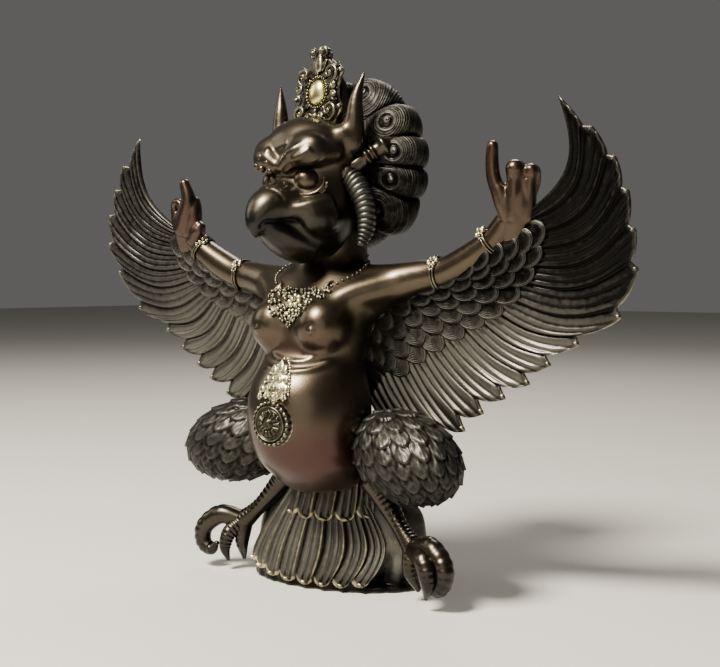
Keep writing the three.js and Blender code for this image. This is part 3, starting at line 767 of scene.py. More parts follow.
def side_bands(metal):
    """A curved band of locks down each side of the face. Its ribs are |sin(pi (15 t + arch))|^0.7, and the
    arch lifts each rib's middle towards the top where the band faces outwards."""
    depth = sizes().rib_depth / MM

    def ribs(t, a):
        """How far the ribs stand out."""
        arch = 0.6 * np.cos(a - math.radians(45))
        return depth * (np.abs(np.sin(math.pi * (15 * t + arch))) ** 0.7 - 0.7)

    band = tube(SIDE_BAND, (2.8, 4.2, 4.2, 3.8, 3.2, 2.0), 28, 220, FRONT, 1, ribs)
    cast("side_bands", on_head(pair(band)), metal, warm=0.3, rounds=3, depth=0.35)


# Mane: big curls behind the head. Each reaches a distance from the mane's middle and ends at a valley, at
# an angle from the top.

CURLS = (
    (33, 8, 31.6), (35.2, 49, 32.4), (36, 75, 33.2), (36.4, 97, 34), (37.2, 117, 35),
    (38.2, 148, 33.6), (35.6, 212, 33.6),
)
MANE_RADIUS = 34
MANE_CENTRE = 8
MANE_WIDER = 1.06
KNOB_OUT = 29.6
MANE_AROUND = 560

# From front to back: how far back, the share of the mane's radius, and the share of the curls' swelling.

MANE_PROFILE = (
    (2, 0.30, 0), (4.5, 0.52, 0.0), (6.8, 0.72, 0.4), (9.5, 0.89, 0.8), (13, 0.975, 1.0),
    (18, 0.99, 1.05), (23, 0.965, 1.0), (28, 0.82, 0.7), (31.6, 0.6, 0.45), (33.4, 0.28, 0.1),
    (33.6, 0, 0),
)


def mane(metal):
    """A cushion of curls. Round its rim each curl swells between two valleys as sqrt(sin(pi s)), and its
    front swells the same way. Locks run round the curl's own knob as A cos(pi distance / pitch), and the
    finish adds the finer strands between them."""
    pitch = sizes().strand_pitch / MM
    lock = sizes().strand_depth / MM / 2
    a = np.linspace(-math.pi, math.pi, MANE_AROUND, endpoint=False)
    degrees = np.degrees(np.abs(a))
    reach, ends, valleys = np.array(CURLS).T
    edges = np.concatenate([[-8.0], ends])
    floors = np.concatenate([valleys[:1], valleys])
    curl = np.clip(np.searchsorted(edges, degrees, side="right") - 1, 0, len(reach) - 1)
    low, high = edges[curl], edges[curl + 1]
    inside = np.clip((degrees - low) / (high - low), 0, 1)
    valley = floors[curl] + (floors[curl + 1] - floors[curl]) * inside
    bulge = np.sqrt(np.sin(math.pi * inside))
    rim = valley + (reach[curl] - valley) * bulge - MANE_RADIUS
    place = np.concatenate([np.linspace(0, 0.58, 66), np.linspace(0.58, 1, 21)[1:]])
    y, out, swell = spline(MANE_PROFILE, place).T[..., None]
    radius = out * MANE_RADIUS + swell * rim[None, :] * (1 + 0.25 * ridge(y - 16, 8))
    sideways = np.sin(a)[None, :] * MANE_WIDER
    upward = np.cos(a)[None, :]
    points = np.stack([radius * sideways, y + 0 * radius, MANE_CENTRE + radius * upward], -1)
    middle = np.radians((low + high) / 2)
    side = np.where(a < 0, -1, 1)
    knob_x = side * KNOB_OUT * MANE_WIDER * np.sin(middle)
    knob_z = MANE_CENTRE + KNOB_OUT * np.cos(middle)
    gap_x, gap_z = points[..., 0] - knob_x, points[..., 2] - knob_z
    gap = np.hypot(gap_x, gap_z) + 0.5 * np.maximum(y - 9, 0)
    locks = lock * np.cos(math.pi * gap / pitch) * step(3.6, 5, gap)
    knob = 1.5 * ridge(gap, 1.3) - 0.7 * ridge(gap - 2.4, 0.7) + 0.4 * ridge(gap - 3.8, 0.7)
    cleft = -0.6 * (ridge(inside, 0.05) + ridge(1 - inside, 0.05)) * step(0.6, 0.8, out)
    dome = 1.3 * (bulge - 0.6) * step(0.5, 0.8, out) * (1 - step(14, 22, y))
    relief = (step(0.4, 0.6, out) * (locks + knob) + cleft + dome) * (1 - 0.6 * step(27, 31, y))
    outward = unit(points - (0, 18.0, MANE_CENTRE))
    shape = grid(points + outward * relief[..., None])
    marks = {"barb": gap / pitch}
    # Painted shade on the lower half of the curls, over a dark patina all over.
    painted_shade_below = shaded(0.55, 0.15, 180, 164)
    cast("mane", on_head([shape]), metal, warm=painted_shade_below, rounds=4, depth=0.6, marks=marks)


# Crown plaque: x across, y up it and z out of its front. Its outline goes by height and half-width, and a
# scroll by place, size, starting angle, turns and sense.

PLAQUE = (
    (0, 9), (3, 10.6), (7.6, 12.9), (11.8, 11.2), (15.4, 10.6), (19.4, 11.2), (23, 12), (25.4, 9.4),
    (27.6, 5.6), (30.2, 4.8), (32.4, 3.2), (33.4, 0.8),
)
PLAQUE_LEAN = 6
PLAQUE_AT = (-1.2, 0.6, 20.44)
PLAQUE_FACE = 2.4
BOSS_AT = 14.5
SCROLLS = (
    (8.2, 6.4, 4.1, 215, 1.35, 1), (10.6, 12.4, 2.1, -60, 1.2, -1), (10.2, 16.6, 2.0, 60, 1.2, 1),
    (7.6, 21.6, 3.9, -130, 1.4, 1), (2.9, 30.6, 1.9, -80, 1.2, 1), (3.4, 4.2, 1.9, 160, 1.1, -1),
)


def on_plaque(shapes):
    """Plaque frame to head frame, leaning back."""
    lean = math.radians(PLAQUE_LEAN)
    c, s = math.cos(lean), math.sin(lean)
    return on_head([moved(shape, ((1, 0, 0), (0, s, -c), (0, c, s)), PLAQUE_AT) for shape in shapes])


def scroll(x, y, size, start, turns, way):
    """A volute: a wire along r = size (1 - 0.8 t), turning the way given, with a grain in its eye."""
    t = np.linspace(0, 1, 22)
    a = np.radians(start) + way * t * turns * 2 * math.pi
    r = size * (1 - 0.8 * t)
    path = np.stack([x + r * np.cos(a), y + r * np.sin(a), PLAQUE_FACE + 0.7 + 1.1 * t], -1)
    wire = tube(path, (0.4, 0.75, 0.6, 0.55), 10, 64, UP)
    return [wire, ball((x, y, PLAQUE_FACE + 1.3), UP, 1.0, 1.0, 1.0, 8, 10)]


def crown(metal, polished):
    """The crown: a scalloped plate with pairs of volutes, leaves and grains round a beaded boss."""
    t = np.linspace(0, 1, 130)
    up, half = spline(PLAQUE, t).T
    half = half - 0.5 + 0.35 * np.abs(np.sin(t * 10.5 * math.pi))
    s = np.linspace(-1, 1, 41)
    face = PLAQUE_FACE - 0.9 * s**8 - 0.5 + 0 * up[:, None]
    front = np.stack([half[:, None] * s, up[:, None] + 0 * s, face], -1)
    back = np.stack([half[:, None] * s, up[:, None] + 0 * s, 0 * face], -1)[:, ::-1]
    shapes = [capped(np.concatenate([front, back], 1))]
    for x, y, size, start, turns, way in SCROLLS:
        shapes += pair(*scroll(x, y, size, start, turns, way))
    for a in round_turn(28)[0]:
        shapes.append(bead((5.7 * math.cos(a), BOSS_AT + 6.3 * math.sin(a), PLAQUE_FACE + 0.5), 0.58))
    for turn in np.radians(np.arange(20, 380, 40)):
        way = (math.cos(turn), math.sin(turn), 0)
        at = (7.6 * way[0], BOSS_AT + 8.2 * way[1], PLAQUE_FACE)
        shapes.append(petal(at, way, UP, 1.9, 1.0))
    shapes.append(petal((0, 26.4, PLAQUE_FACE + 0.4), (0, 1, 0), UP, 4.0, 2.0))
    shapes += pair(
        petal((2.5, 25.4, PLAQUE_FACE), (0.55, 1, 0), UP, 2.8, 1.2),
        petal((9.8, 25.0, PLAQUE_FACE - 0.6), (0.8, 1, 0), UP, 1.6, 0.9),
        bead((12.2, 8.0, 1.9), 1.0),
        bead((11.6, 22.6, 1.9), 1.0),
        bead((1.6, 2.4, PLAQUE_FACE), 0.9),
        bead((5.2, 1.6, PLAQUE_FACE), 0.9),
    )
    shapes.append(ball((0, 4.9, PLAQUE_FACE + 0.5), (0, 1, 0), 1.5, 1.3, 1.2, 10, 14))
    shapes.append(ball((0, 31.6, PLAQUE_FACE - 0.2), (0, 1, 0), 1.6, 1.2, 1.1, 10, 14))
    cast("crown_plaque", on_plaque(shapes), metal, rounds=3, depth=0.55)
    boss = ball((0, BOSS_AT, PLAQUE_FACE), (0, 1, 0), 5.2, 4.5, 2.4, 40, 48)
    cast("crown_cabochon", on_plaque([boss]), polished)


# Wings. The feathers' lines run from the arm over their roots to their tips. A tip's length along the
# feather goes from the lowest feather's to the highest one's, and painted shade lies high on the wing.

ARM_LINE = (
    (10, 4, 86), (10, 4, 100), (16, 3.5, 112), (30, 2.5, 121), (46, 1.5, 124), (62, 1, 129.5),
    (74, 0, 137), (83, -0.5, 148),
)
ROOTS = (
    (15, 5, 76), (28, 5.5, 92), (43, 5, 101), (59, 4.5, 109), (73, 4, 116), (85, 2.5, 127),
    (90, 0.5, 139), (89, -1.5, 149),
)
TIPS = (
    (27.5, 7.5, 59.5), (38, 7.5, 60), (48, 8, 61.5), (57.5, 8, 65.6), (66, 7.6, 73),
    (75.7, 7.1, 79.4), (85.2, 8.6, 85.3), (94.3, 7.6, 92.8), (105, 8.6, 100.8), (121.8, 6.8, 111.2),
    (130, 1.6, 128.2), (130.9, -3.5, 141.5), (128.8, -4.8, 154.7), (124, -5.2, 166.4),
    (116.3, -7.2, 176.9), (104, -8.6, 188.4),
)
RIM_POINTS = 343
TIP_AT = 0.8
TIP_LENGTHS = {1: (8.6, 2.4), -1: (8.2, 3.8)}
CORDS = 3
# Painted shade high on each wing, stronger on the nearer wing.
WING_PAINTED_SHADE = {1: 0.9, -1: 0.6}


def cords(u):
    """Rounded cords side by side across a feather, with a sharp groove between each two."""
    return np.abs(2 * (CORDS * u - np.floor(CORDS * u)) - 1) ** 2.4


def feather_relief(u):
    """How far a feather stands out across its width u: it rises steeply at its lower edge and slopes down
    to its upper edge, where the next one covers it. Its cords are cut into that."""
    rise = sizes().feather_relief / MM * step(0, 0.07, u) * (1 - 0.62 * u)
    return rise - sizes().cord_depth / MM * cords(u)


def wing(name, side, metal):
    """One ribbed sheet behind the arm. Along each feather line the point is root + (end - root) t, bent
    outwards by bow sin(pi t), and above its root the line runs on to the arm. The rim falls back from a tip
    by 0.45 x + 0.55 x^3 along a feather's long lower side and by x^0.8 on its short upper one."""
    last = len(TIPS) - 1
    q = np.linspace(-0.5, last, RIM_POINTS)
    place = np.clip(q / last, 0, 1)[:, None]
    u = q + TIP_AT - np.floor(q + TIP_AT)
    top = q > last - TIP_AT
    u = np.where(top, (q - (last - TIP_AT)) / TIP_AT, u)
    tip_at = np.where(top, 1.0, TIP_AT)
    below = np.clip((tip_at - u) / tip_at, 0, 1)
    above = np.clip((u - tip_at) / (1.001 - tip_at), 0, 1)
    back_off = np.where(u < tip_at, 0.45 * below + 0.55 * below**3, above**0.8)
    root, tip, arm = (spline(line, place[:, 0]) for line in (ROOTS, TIPS, ARM_LINE))
    low_length, high_length = TIP_LENGTHS[side]
    tip_length = low_length + (high_length - low_length) * np.minimum(1.25 * place, 1)
    reach = np.linalg.norm(tip - root, axis=1, keepdims=True)
    end = tip + (root - tip) * tip_length * back_off[:, None] / reach
    end[:, 0] -= 6 * np.clip(-q, 0, 1)
    chord = end - root
    span = np.linalg.norm(chord, axis=1)
    outward = unit(np.stack([chord[:, 2], 0 * span, -chord[:, 0]], -1))
    bow = span * (0.07 + 0.15 * place[:, 0] ** 2)
    pinch = np.clip((q + 0.5) * 6, 0, 1) * np.clip((last - q) * 8, 0, 1)

    def face(t, out, share):
        """One face of the sheet, its barbs' places and how dark it is: painted shade high on the wing, and
        darker along the rim.
        """
        near = t[None, :, None]
        arch = np.sin(math.pi * np.clip(near, 0, 1))
        blade = root[:, None] + chord[:, None] * near + outward[:, None] * bow[:, None, None] * arch
        inner = arm[:, None] + (root - arm)[:, None] * (near + 1)
        middle = np.where(near < 0, inner, blade)
        middle[..., 1] += 1.5 * arch[..., 0]
        relief = share * feather_relief(u)[:, None] * step(-0.4, 0.15, t)[None, :]
        high = (0.9 + relief) * (1 - 0.4 * step(0.86, 1, t)[None, :]) * pinch[:, None]
        along = np.clip(t, 0, 1)[None, :] * span[:, None]
        points = middle + out * high[..., None]
        # Painted shade high on the wing; the feathers' ends along the rim are darker too.
        wing_darkening = WING_PAINTED_SHADE[side] * step(86, 148, points[..., 2] + 0.35 * (points[..., 0] - 80))
        wing_darkening = np.maximum(wing_darkening, 0.6 * step(0.9, 0.97, t)[None, :])
        return points, (along + 2.2 * np.abs(u - 0.5)[:, None]) / 1.1, wing_darkening

    down = np.concatenate([np.linspace(-1, 0, 10)[:-1], np.linspace(0, 1, 64)])
    faces = zip(face(down, FRONT, 1), face(np.linspace(1, -1, 44), -FRONT, 0.5))
    sheet, barb, wing_darkening = (np.concatenate(both, 1) for both in faces)
    shapes, barbs, wing_darkenings = [grid(sheet)], [barb.ravel()], [wing_darkening.ravel()]
    for feather in range(last):
        tip_place = np.array([feather / last])
        outer, inner_end = spline(TIPS, tip_place)[0], spline(ROOTS, tip_place)[0]
        way = unit(outer - inner_end)
        size = 1.25 - 0.45 * feather / last
        knob = ball(outer - way * size * 1.3 + FRONT * 0.5, way, size * 1.2, size, size * 0.9, 9, 12)
        shapes.append(knob)
        barbs.append(np.zeros(len(knob[0])))
        wing_darkenings.append(np.full(len(knob[0]), 0.3))
    if side < 0:
        shapes = [mirrored(shape) for shape in shapes]
    marks = {"barb": np.concatenate(barbs), "warm": np.concatenate(wing_darkenings)}
    cast(name, shapes, metal, rounds=4, depth=0.5, marks=marks)


def wings(metal):
    """Both wings."""
    wing("left_wing", 1, metal)
    wing("right_wing", -1, metal)


def covert(at, along, out, long, wide, thick):
    """A small rounded feather lying on its row: a shallow dome with a groove inside its edge and a shaft.
    Its point is along (r cos a) + across (r sin a), and its tip stands highest. Its strands follow its
    edge, so their places go with r."""
    along, out, across = squared(along, out)
    r = np.linspace(0, 1, 11)[:, None]
    a = round_turn(30)
    x = r * np.sin(a) * (1 - 0.1 * np.cos(a))
    y = r * np.cos(a)
    dome = np.sqrt(np.clip(1 - r**3, 0, 1)) - 0.1 * ridge(r - 0.8, 0.07)
    lift = thick * (0.5 + 0.6 * y + dome + 0.12 * ridge(x, 0.07))
    points = at + along * (y * long / 2)[..., None] + across * (x * wide / 2)[..., None]
    front = points + out * lift[..., None]
    sunk = np.repeat((at - out * 2.0)[None, None], 30, 1)
    rim = front[-1:] - out * (thick * 1.4 + 1.2)
    strands = np.repeat(np.concatenate([r, r[-1:], r[-1:]]), 30, 1) * long / 2 / 0.8
    return grid(np.concatenate([front, rim, sunk])), strands.ravel()


# A row of coverts has a count, its share of the way from the arm to the long feathers, where along the
# wing it starts and stops, a size and how far forward it lies. Each side has a reach, a thickness and rows.

COVERT_ROWS = (
    (10, 0.92, 0.15, 0.86, 0.95, 0.9), (10, 0.70, 0.14, 0.84, 0.92, 1.6),
    (10, 0.49, 0.13, 0.82, 0.9, 2.2), (9, 0.29, 0.12, 0.80, 0.88, 2.8),
    (9, 0.1, 0.16, 0.78, 0.85, 3.3),
)
COVERTS_OF = {1: (1.0, 0.75, COVERT_ROWS), -1: (0.75, 0.45, COVERT_ROWS[::2])}


def coverts(metal):
    """Overlapping rows of small feathers between the arm and the long feathers."""
    long, wide = sizes().covert_length / MM, sizes().covert_width / MM
    shapes, strands = [], []
    drawn = [(side, kind[:2], row) for side, kind in COVERTS_OF.items() for row in kind[2]]
    for side, (reach, thick), (count, share, start, stop, size, ahead) in drawn:
        place = np.linspace(start, stop, count)
        arm, root, tip = (spline(line, place) for line in (ARM_LINE, ROOTS, TIPS))
        chord = unit(tip - root)
        low = root + chord * 4
        at = arm + (low - arm) * share * reach
        way = unit(0.6 * chord + 0.4 * unit(low - arm))
        for centre, along in zip(at, way):
            centre = centre + FRONT * (0.4 + ahead) - along * 1.5
            facing = FRONT + 0.12 * along
            shape, lines = covert(centre, along, facing, long * size, wide * size, thick)
            shapes.append(shape if side > 0 else mirrored(shape))
            strands.append(lines)

    def warm(points):
        """Painted shade: darker on the nearer wing and towards the wings' tops, over a dark patina all
        over.
        """
        return 0.32 + 0.18 * step(-40, 40, points[:, 0]) + 0.25 * step(100, 125, points[:, 2])

    marks = {"barb": np.concatenate(strands)}
    cast("wing_coverts", shapes, metal, warm=warm, rounds=3, depth=0.8, marks=marks)


# Legs

THIGH_AT = np.array((41.5, -9, 56.5))
THIGH_AXIS = unit((0.93, -0.25, -0.24))
THIGH_HALF = (26.7, 17.6, 17.2)
THIGH_ROWS, THIGH_AROUND = 130, 290
LEAF_SPHERE = 20.0
LEAF_PITCH = 0.33
LEAF_FLOW = (0.5, -0.1, -0.86)
LEAF_RISE = 1.3


def leaves(theta, phi, size, pitch, width, rise):
    """Rows of overlapping leaf-shaped feathers on a ball. Row k ends at theta = k pitch. A point takes the
    row above wherever that row's tip covers it, and otherwise the next one down. A feather rises towards
    its tip as rise ((y + 1) / 1.9)^1.8, with y from -1 at its root to 0.9 at its tip, and has a shaft."""
    row = np.floor(theta / pitch)

    def local(k):
        """Places across and along the feather of row k."""
        count = np.maximum(np.round(2 * math.pi * np.sin(np.clip(k * pitch, 0.2, 2.95)) * size / width), 4)
        turn = phi * count / (2 * math.pi) + 0.5 * (k % 2)
        return turn - np.floor(turn) - 0.5, theta / pitch - k

    def half_width(y):
        """Half a feather's width, rounded off to its tip."""
        return 0.5 * np.clip(1 - (np.maximum(y, 0) / 0.93) ** 2.2, 0.001, 1) ** 0.6

    def height(x, y):
        """How far a feather stands out."""
        across = np.clip(np.abs(x) / np.maximum(half_width(y), 0.05), 0, 1)
        crown = 1 - 0.3 * across**4
        barbs = 0.07 * np.cos((across * 2.6 - 2.2 * y) * math.pi) * step(-0.5, 0, y) + 0.18 * ridge(x, 0.06)
        return rise * (0.05 + 0.95 * ((y + 1) / 1.9) ** 1.8) * crown + rise * barbs

    x1, y1 = local(row)
    x2, y2 = local(row + 1)
    covered = step(0.04, -0.04, np.abs(x1) - half_width(y1)) * step(0.97, 0.9, y1)
    return height(x1, y1) * covered + height(x2, y2) * (1 - covered)


def thighs(metal):
    """Fat folded thighs covered with rows of leaf-shaped feathers that point down and outwards."""
    level = unit(np.cross(UP, THIGH_AXIS))
    deep = np.cross(THIGH_AXIS, level)
    stretch = np.stack([THIGH_AXIS * THIGH_HALF[0], level * THIGH_HALF[1], deep * THIGH_HALF[2]], 1)
    flow = unit(np.linalg.inv(stretch) @ LEAF_FLOW)
    first = unit(np.cross(flow, (0, 1, 0)))
    second = np.cross(flow, first)
    theta = np.linspace(0, math.pi, THIGH_ROWS)[:, None]
    phi = round_turn(THIGH_AROUND)
    sphere = (
        -flow * np.cos(theta)[..., None]
        + first * (np.sin(theta) * np.cos(phi))[..., None]
        + second * (np.sin(theta) * np.sin(phi))[..., None]
    )
    outward = unit(sphere @ np.linalg.inv(stretch))
    width = sizes().leaf_width / MM
    relief = leaves(theta, phi, LEAF_SPHERE, LEAF_PITCH, width, LEAF_RISE) - 0.55 * LEAF_RISE
    relief = relief * step(0, 0.2, theta) * step(0, 0.2, math.pi - theta)
    shape = grid(sphere @ stretch.T + outward * relief[..., None] + THIGH_AT)

    # Painted shade low on the thighs, over a dark patina all over.
    cast("thighs", pair(shape), metal, warm=shaded(0.5, 0.15, 58, 42), rounds=4, depth=0.5)


SHANK = ((22, -2, 44), (27, -2.5, 38), (36, -5, 28), (43.5, -7, 21))
INNER_TOE = ((43.5, -7, 21), (43.2, -8.6, 12.5), (44.8, -5.5, 4.6))
MIDDLE_TOE = ((45, -8, 21), (53.5, -15, 18.5), (56.5, -16.5, 11.5), (54.6, -15.2, 5))
TUCKED_TOE = ((-44.5, -8, 20), (-47.2, -12.6, 16), (-48.2, -14, 10), (-47.2, -13.2, 4.8))
OUTER_TOE = (
    (45, -7, 21), (53.5, -10.5, 23), (60.8, -13, 17.5), (61, -13.8, 11), (57, -13.4, 8.2),
    (54, -13, 10.8),
)


def feet(metal):
    """Shanks and toes with raised scutes across their fronts, |sin|^0.7 of the place along, and a smooth
    claw at each toe's end. Painted shade darkens them low down, most at the toes' ends by the floor, over
    a dark patina all over."""
    depth = sizes().scute_depth / MM

    def scaly(path, radii, count, stop):
        """A limb with a number of scutes, which end at a share of its length."""

        def scutes(t, a):
            """How far the scutes stand out."""
            shown = step(-0.6, 0.5, np.sin(a)) * step(0, 0.06, stop - t)
            return depth * (np.abs(np.sin(t * count * math.pi)) ** 0.7 - 0.6) * shown

        return tube(path, radii, 22, 5 * count + 24, SIDE, 1, scutes)

    shapes = pair(
        scaly(SHANK, (6.0, 4.8, 3.3, 4.4), 17, 1.1),
        scaly(INNER_TOE, (4.2, 3.0, 1.0), 9, 0.7),
        scaly(OUTER_TOE, (4.2, 4.2, 3.9, 3.4, 2.9, 1.1), 14, 0.75),
    )
    shapes.append(scaly(MIDDLE_TOE, (4.0, 4.0, 3.2, 0.9), 11, 0.72))
    shapes.append(scaly(TUCKED_TOE, (3.8, 3.2, 2.4, 0.8), 11, 0.72))

    # Painted shade low on the toes, by the floor, over a dark patina all over.
    cast("shanks_and_toes", shapes, metal, warm=shaded(0.55, 0.3, 20, 8), rounds=3, depth=0.5)


# Tail: a fan that the figure stands on. Its own frame is turned towards the figure's left. Each row of a
# tier of feathers has a half-width, how far ahead it lies, and a height.

BASE_TURN = turned(10)
BASE_AT = np.array((-1.5, 4.5, 0))
CORE = (
    (0, 37.8, -19.9, 19.9), (2, 38.0, -20.0, 20.0), (5, 38.2, -20.1, 20.1), (14, 38.1, -15.4, 19.3),
    (22, 37.8, -11.3, 18.3), (30, 35.1, -8.6, 17.6), (38, 25.7, -6.7, 16.7), (48, 17.9, -4.8, 15.7),
    (60, 14.4, -4.4, 10.8), (76, 10.9, -4.1, 4.1),
)
TAIL_ACROSS, TAIL_DOWN = 30, 76
TAIL_SUNK = 3.0
TAIL_THINNED = 15
LOWER_TIER = ((15.6, 8.2, 45), (24.6, 12.4, 32), (32.8, 16, 20), (36.6, 18.6, 12), (39, 20.5, 5))
UPPER_TIER = ((15.6, 7.4, 54), (17.2, 9.9, 47), (18.8, 12.7, 39), (21.1, 16.4, 31))


def on_tail(shapes):
    """Shapes of the tail's own frame, put on the figure."""
    return [moved(shape, BASE_TURN, BASE_AT) for shape in shapes]


def fan(name, metal, feathers, start, stop, tier, drop, lift, sway, ridge_height):
    """A tier of tail feathers round the front: at turn a and place t down the tier the point is
    (sin a wide(t), -cos a ahead(t), z(t)). The feathers to the figure's left bow outwards and back, and
    each one ends in a round tip, drop (1 - |2u - 1|^2.6), darkened with painted shade, with a grain on it."""
    q = np.linspace(0, feathers, feathers * TAIL_ACROSS + 1)
    u = q - np.minimum(np.floor(q), feathers - 1)
    t = np.linspace(0, 1, TAIL_DOWN)[None, :]
    wide, ahead, z = spline(tier, t[0]).T[:, None]
    base = np.radians(start + (stop - start) * q / feathers)[:, None]
    leftward = step(math.radians(-25), math.radians(45), base)
    turn = base + math.radians(sway) * leftward * (np.sin(math.pi * t) - 0.9 * t**4)
    fall = drop * (1 - np.abs(2 * u - 1) ** 2.6)[:, None] * t**6
    raised = lift * np.abs(np.sin(turn)) ** 3 * t**2
    relief = step(0, 0.14, 1 - u) * (0.65 + 0.35 * u) * ridge_height - 0.85 * cords(u)
    out = relief[:, None] * step(0, 0.15, t) * (1 - 0.25 * step(0.9, 1, t))
    pinch = np.clip(np.minimum(q, feathers - q) * 5, 0, 1)[:, None]
    out = out * pinch
    points = np.stack([np.sin(turn) * (wide + out), -np.cos(turn) * (ahead + out), z - fall + raised], -1)
    inner = (np.sin(turn) * (wide - TAIL_SUNK), -np.cos(turn) * (ahead - TAIL_SUNK), z - fall + raised)
    hidden = np.stack(inner, -1)
    hidden = points + (hidden - points) * pinch[..., None]
    shapes = [grid(np.concatenate([points, hidden[:, ::-TAIL_THINNED]], 1))]
    barb = (t * 42 + 2.2 * np.abs(u - 0.5)[:, None]) / 1.1
    barbs = [np.concatenate([barb, barb[:, ::-TAIL_THINNED]], 1).ravel()]
    for tip in points[TAIL_ACROSS // 2 :: TAIL_ACROSS, -1]:
        grain = ball(tip + (0, 0, 1.0), (1, 0.2, -0.3), 1.7, 1.1, 0.9, 9, 12)
        shapes.append(grain)
        barbs.append(np.zeros(len(grain[0])))
    foot = tier[-1][2] - drop
    # Painted shade at the feathers' lowest tips.
    painted_shade_strength = shaded(0, 0.6, foot + 6, foot + 1)
    marks = {"barb": np.concatenate(barbs)}
    cast(name, on_tail(shapes), metal, warm=painted_shade_strength, rounds=5, depth=0.4, marks=marks)


def tail(metal):
    """The tail's body, with painted shade at its foot where the feathers overhang it, and two tiers of
    feathers.
    """

    def ripple(t, a):
        """Plain feathers hinted at down the back of the tail, the ends of hidden ones along its foot, and a
        dark recess low on its left front."""
        behind = step(-0.2, 0.5, np.sin(a))
        feathers = 0.6 * (np.abs(np.cos(a * 9)) - 0.5) * behind * step(0.12, 0.3, t) * step(0, 0.3, 1 - t)
        ends = 0.9 * (np.abs(np.cos(a * 11)) ** 0.6 - 0.9) * (1 - behind) * step(0.3, 0.22, t)
        recess = -3.2 * ridge(a - math.radians(318), 0.26) * step(0.1, 0.2, t) * step(0.42, 0.32, t)
        return feathers + ends + recess

    core = ovals(CORE, 80, 150, ripple)
    # Painted shade at the tail's foot, under the overhanging feathers.
    cast("tail_core", on_tail([core]), metal, warm=shaded(0, 0.9, 13, 3), rounds=4, depth=0.5)
    fan("tail_lower_feathers", metal, 8, -68, 44, LOWER_TIER, drop=3.2, lift=7, sway=9, ridge_height=2.0)
    fan("tail_upper_feathers", metal, 5, -56, 70, UPPER_TIER, drop=3.6, lift=2, sway=3, ridge_height=2.2)


# Hands. Each finger or palm has a path, its radii and how flat it is.

LEFT_HAND = (
    (((82, -0.4, 141), (83.4, -1.2, 146), (84.6, -2.2, 152), (85.6, -2.6, 158.5)),
     (5.4, 6.0, 6.4, 4.4), 0.72),
    (((81.8, -2.6, 147), (80.3, -4, 152), (78.9, -4.8, 157)), (3.6, 3.4, 3.2), 1),
    (((79.6, -4.4, 154.6), (77.2, -5.4, 161), (76.5, -5.6, 167), (77.1, -6.4, 172.8)),
     (3.2, 2.7, 2.5, 2.2), 1),
    (((84.4, -3.4, 147), (84.9, -4.4, 154), (85.2, -4.7, 160), (85.4, -4.7, 164.2)),
     (3.2, 2.9, 2.8, 3.6), 1),
    (((85.4, -4.7, 164.2), (85.4, -1, 164.4), (84.8, 1.6, 160.5), (84.4, 1.4, 155)),
     (3.4, 2.8, 2.6, 2.2), 1),
    (((88.4, -1, 147), (89.6, -1.8, 154), (90.4, -2.4, 160), (90.8, -2.6, 163.6)), (3.2, 2.8, 2.2, 2.6), 1),
    (((90.8, -2.6, 163.6), (90.6, 0.6, 163.4), (89.6, 2.6, 159.5), (88.6, 2, 155)),
     (2.4, 2.3, 2.2, 2.0), 1),
    (((88.4, -2.6, 158), (88.3, -2.6, 162), (88.2, 0.4, 162.6), (87.4, 2.2, 158)), (2.2, 2.3, 2.3, 2.0), 1),
    (((82, 1.6, 149), (83, 4.4, 154), (86, 5.4, 158.4)), (2.8, 2.4, 1.8), 1),
)
RIGHT_HAND = (
    (((-82, -0.4, 140), (-81.8, -1.8, 146), (-80.8, -3.2, 151), (-79.4, -4.2, 155)),
     (5.6, 6.4, 6.2, 4.4), 0.72),
    (((-80.2, -5.6, 147), (-77.4, -6.6, 154), (-75.6, -7.0, 160.5), (-77.2, -7.6, 166.8)),
     (4.0, 3.6, 3.1, 2.3), 1),
    (((-76.4, -3.8, 146), (-74.8, -4.6, 152), (-74.4, -4.6, 156), (-74.8, -4.2, 158.6)),
     (4.2, 3.9, 3.5, 3.0), 1),
    (((-75, -3.6, 142.5), (-72, -4.4, 146.0), (-71, -4.4, 147.6)), (3.8, 3.4, 2.6), 1),
    (((-81, -4.4, 156.6), (-84.6, -4.6, 159.2), (-87.6, -3.6, 157.6), (-87.6, -2.6, 151)),
     (2.2, 1.8, 1.7, 2.2), 1),
    (((-87.6, -2.6, 151), (-86, -1.4, 145.6), (-83.4, 0, 142)), (2.2, 2.8, 3.0), 1),
)
KNUCKLE_FOLDS = (
    ((83.2, -7.4, 161.0), (85.4, -8.4, 160.4), (87.6, -7.2, 161.0)),
    ((89.2, -4.8, 161.2), (90.8, -5.4, 160.8), (92.4, -4.4, 161.2)),
    ((-77.6, -7.8, 161.8), (-76, -8.6, 161.4), (-74.6, -7.6, 161.8)),
)


def hands(metal):
    """Raised hands, as red as the wrists: one finger of each points up, and the others fold back from their
    knuckles."""
    shapes = [tube(path, radii, 24, 60, FRONT, flat) for path, radii, flat in LEFT_HAND + RIGHT_HAND]

    def carve(points):
        """A crease under each bent knuckle."""
        return sum(fold(points, line, 0.6, -0.7) for line in KNUCKLE_FOLDS)

    cast("hands", shapes, metal, voxel=0.48, soften=4, carve=carve, warm=0.5, rounds=5, depth=0.5)


# Jewels. A band has its distance from the middle, its radius and the direction of its flower.

BANDS = (
    (50.2, 6.6, (0.1, -0.75, 0.8)), (73.4, 5.8, (-0.25, -0.6, 0.85)),
)


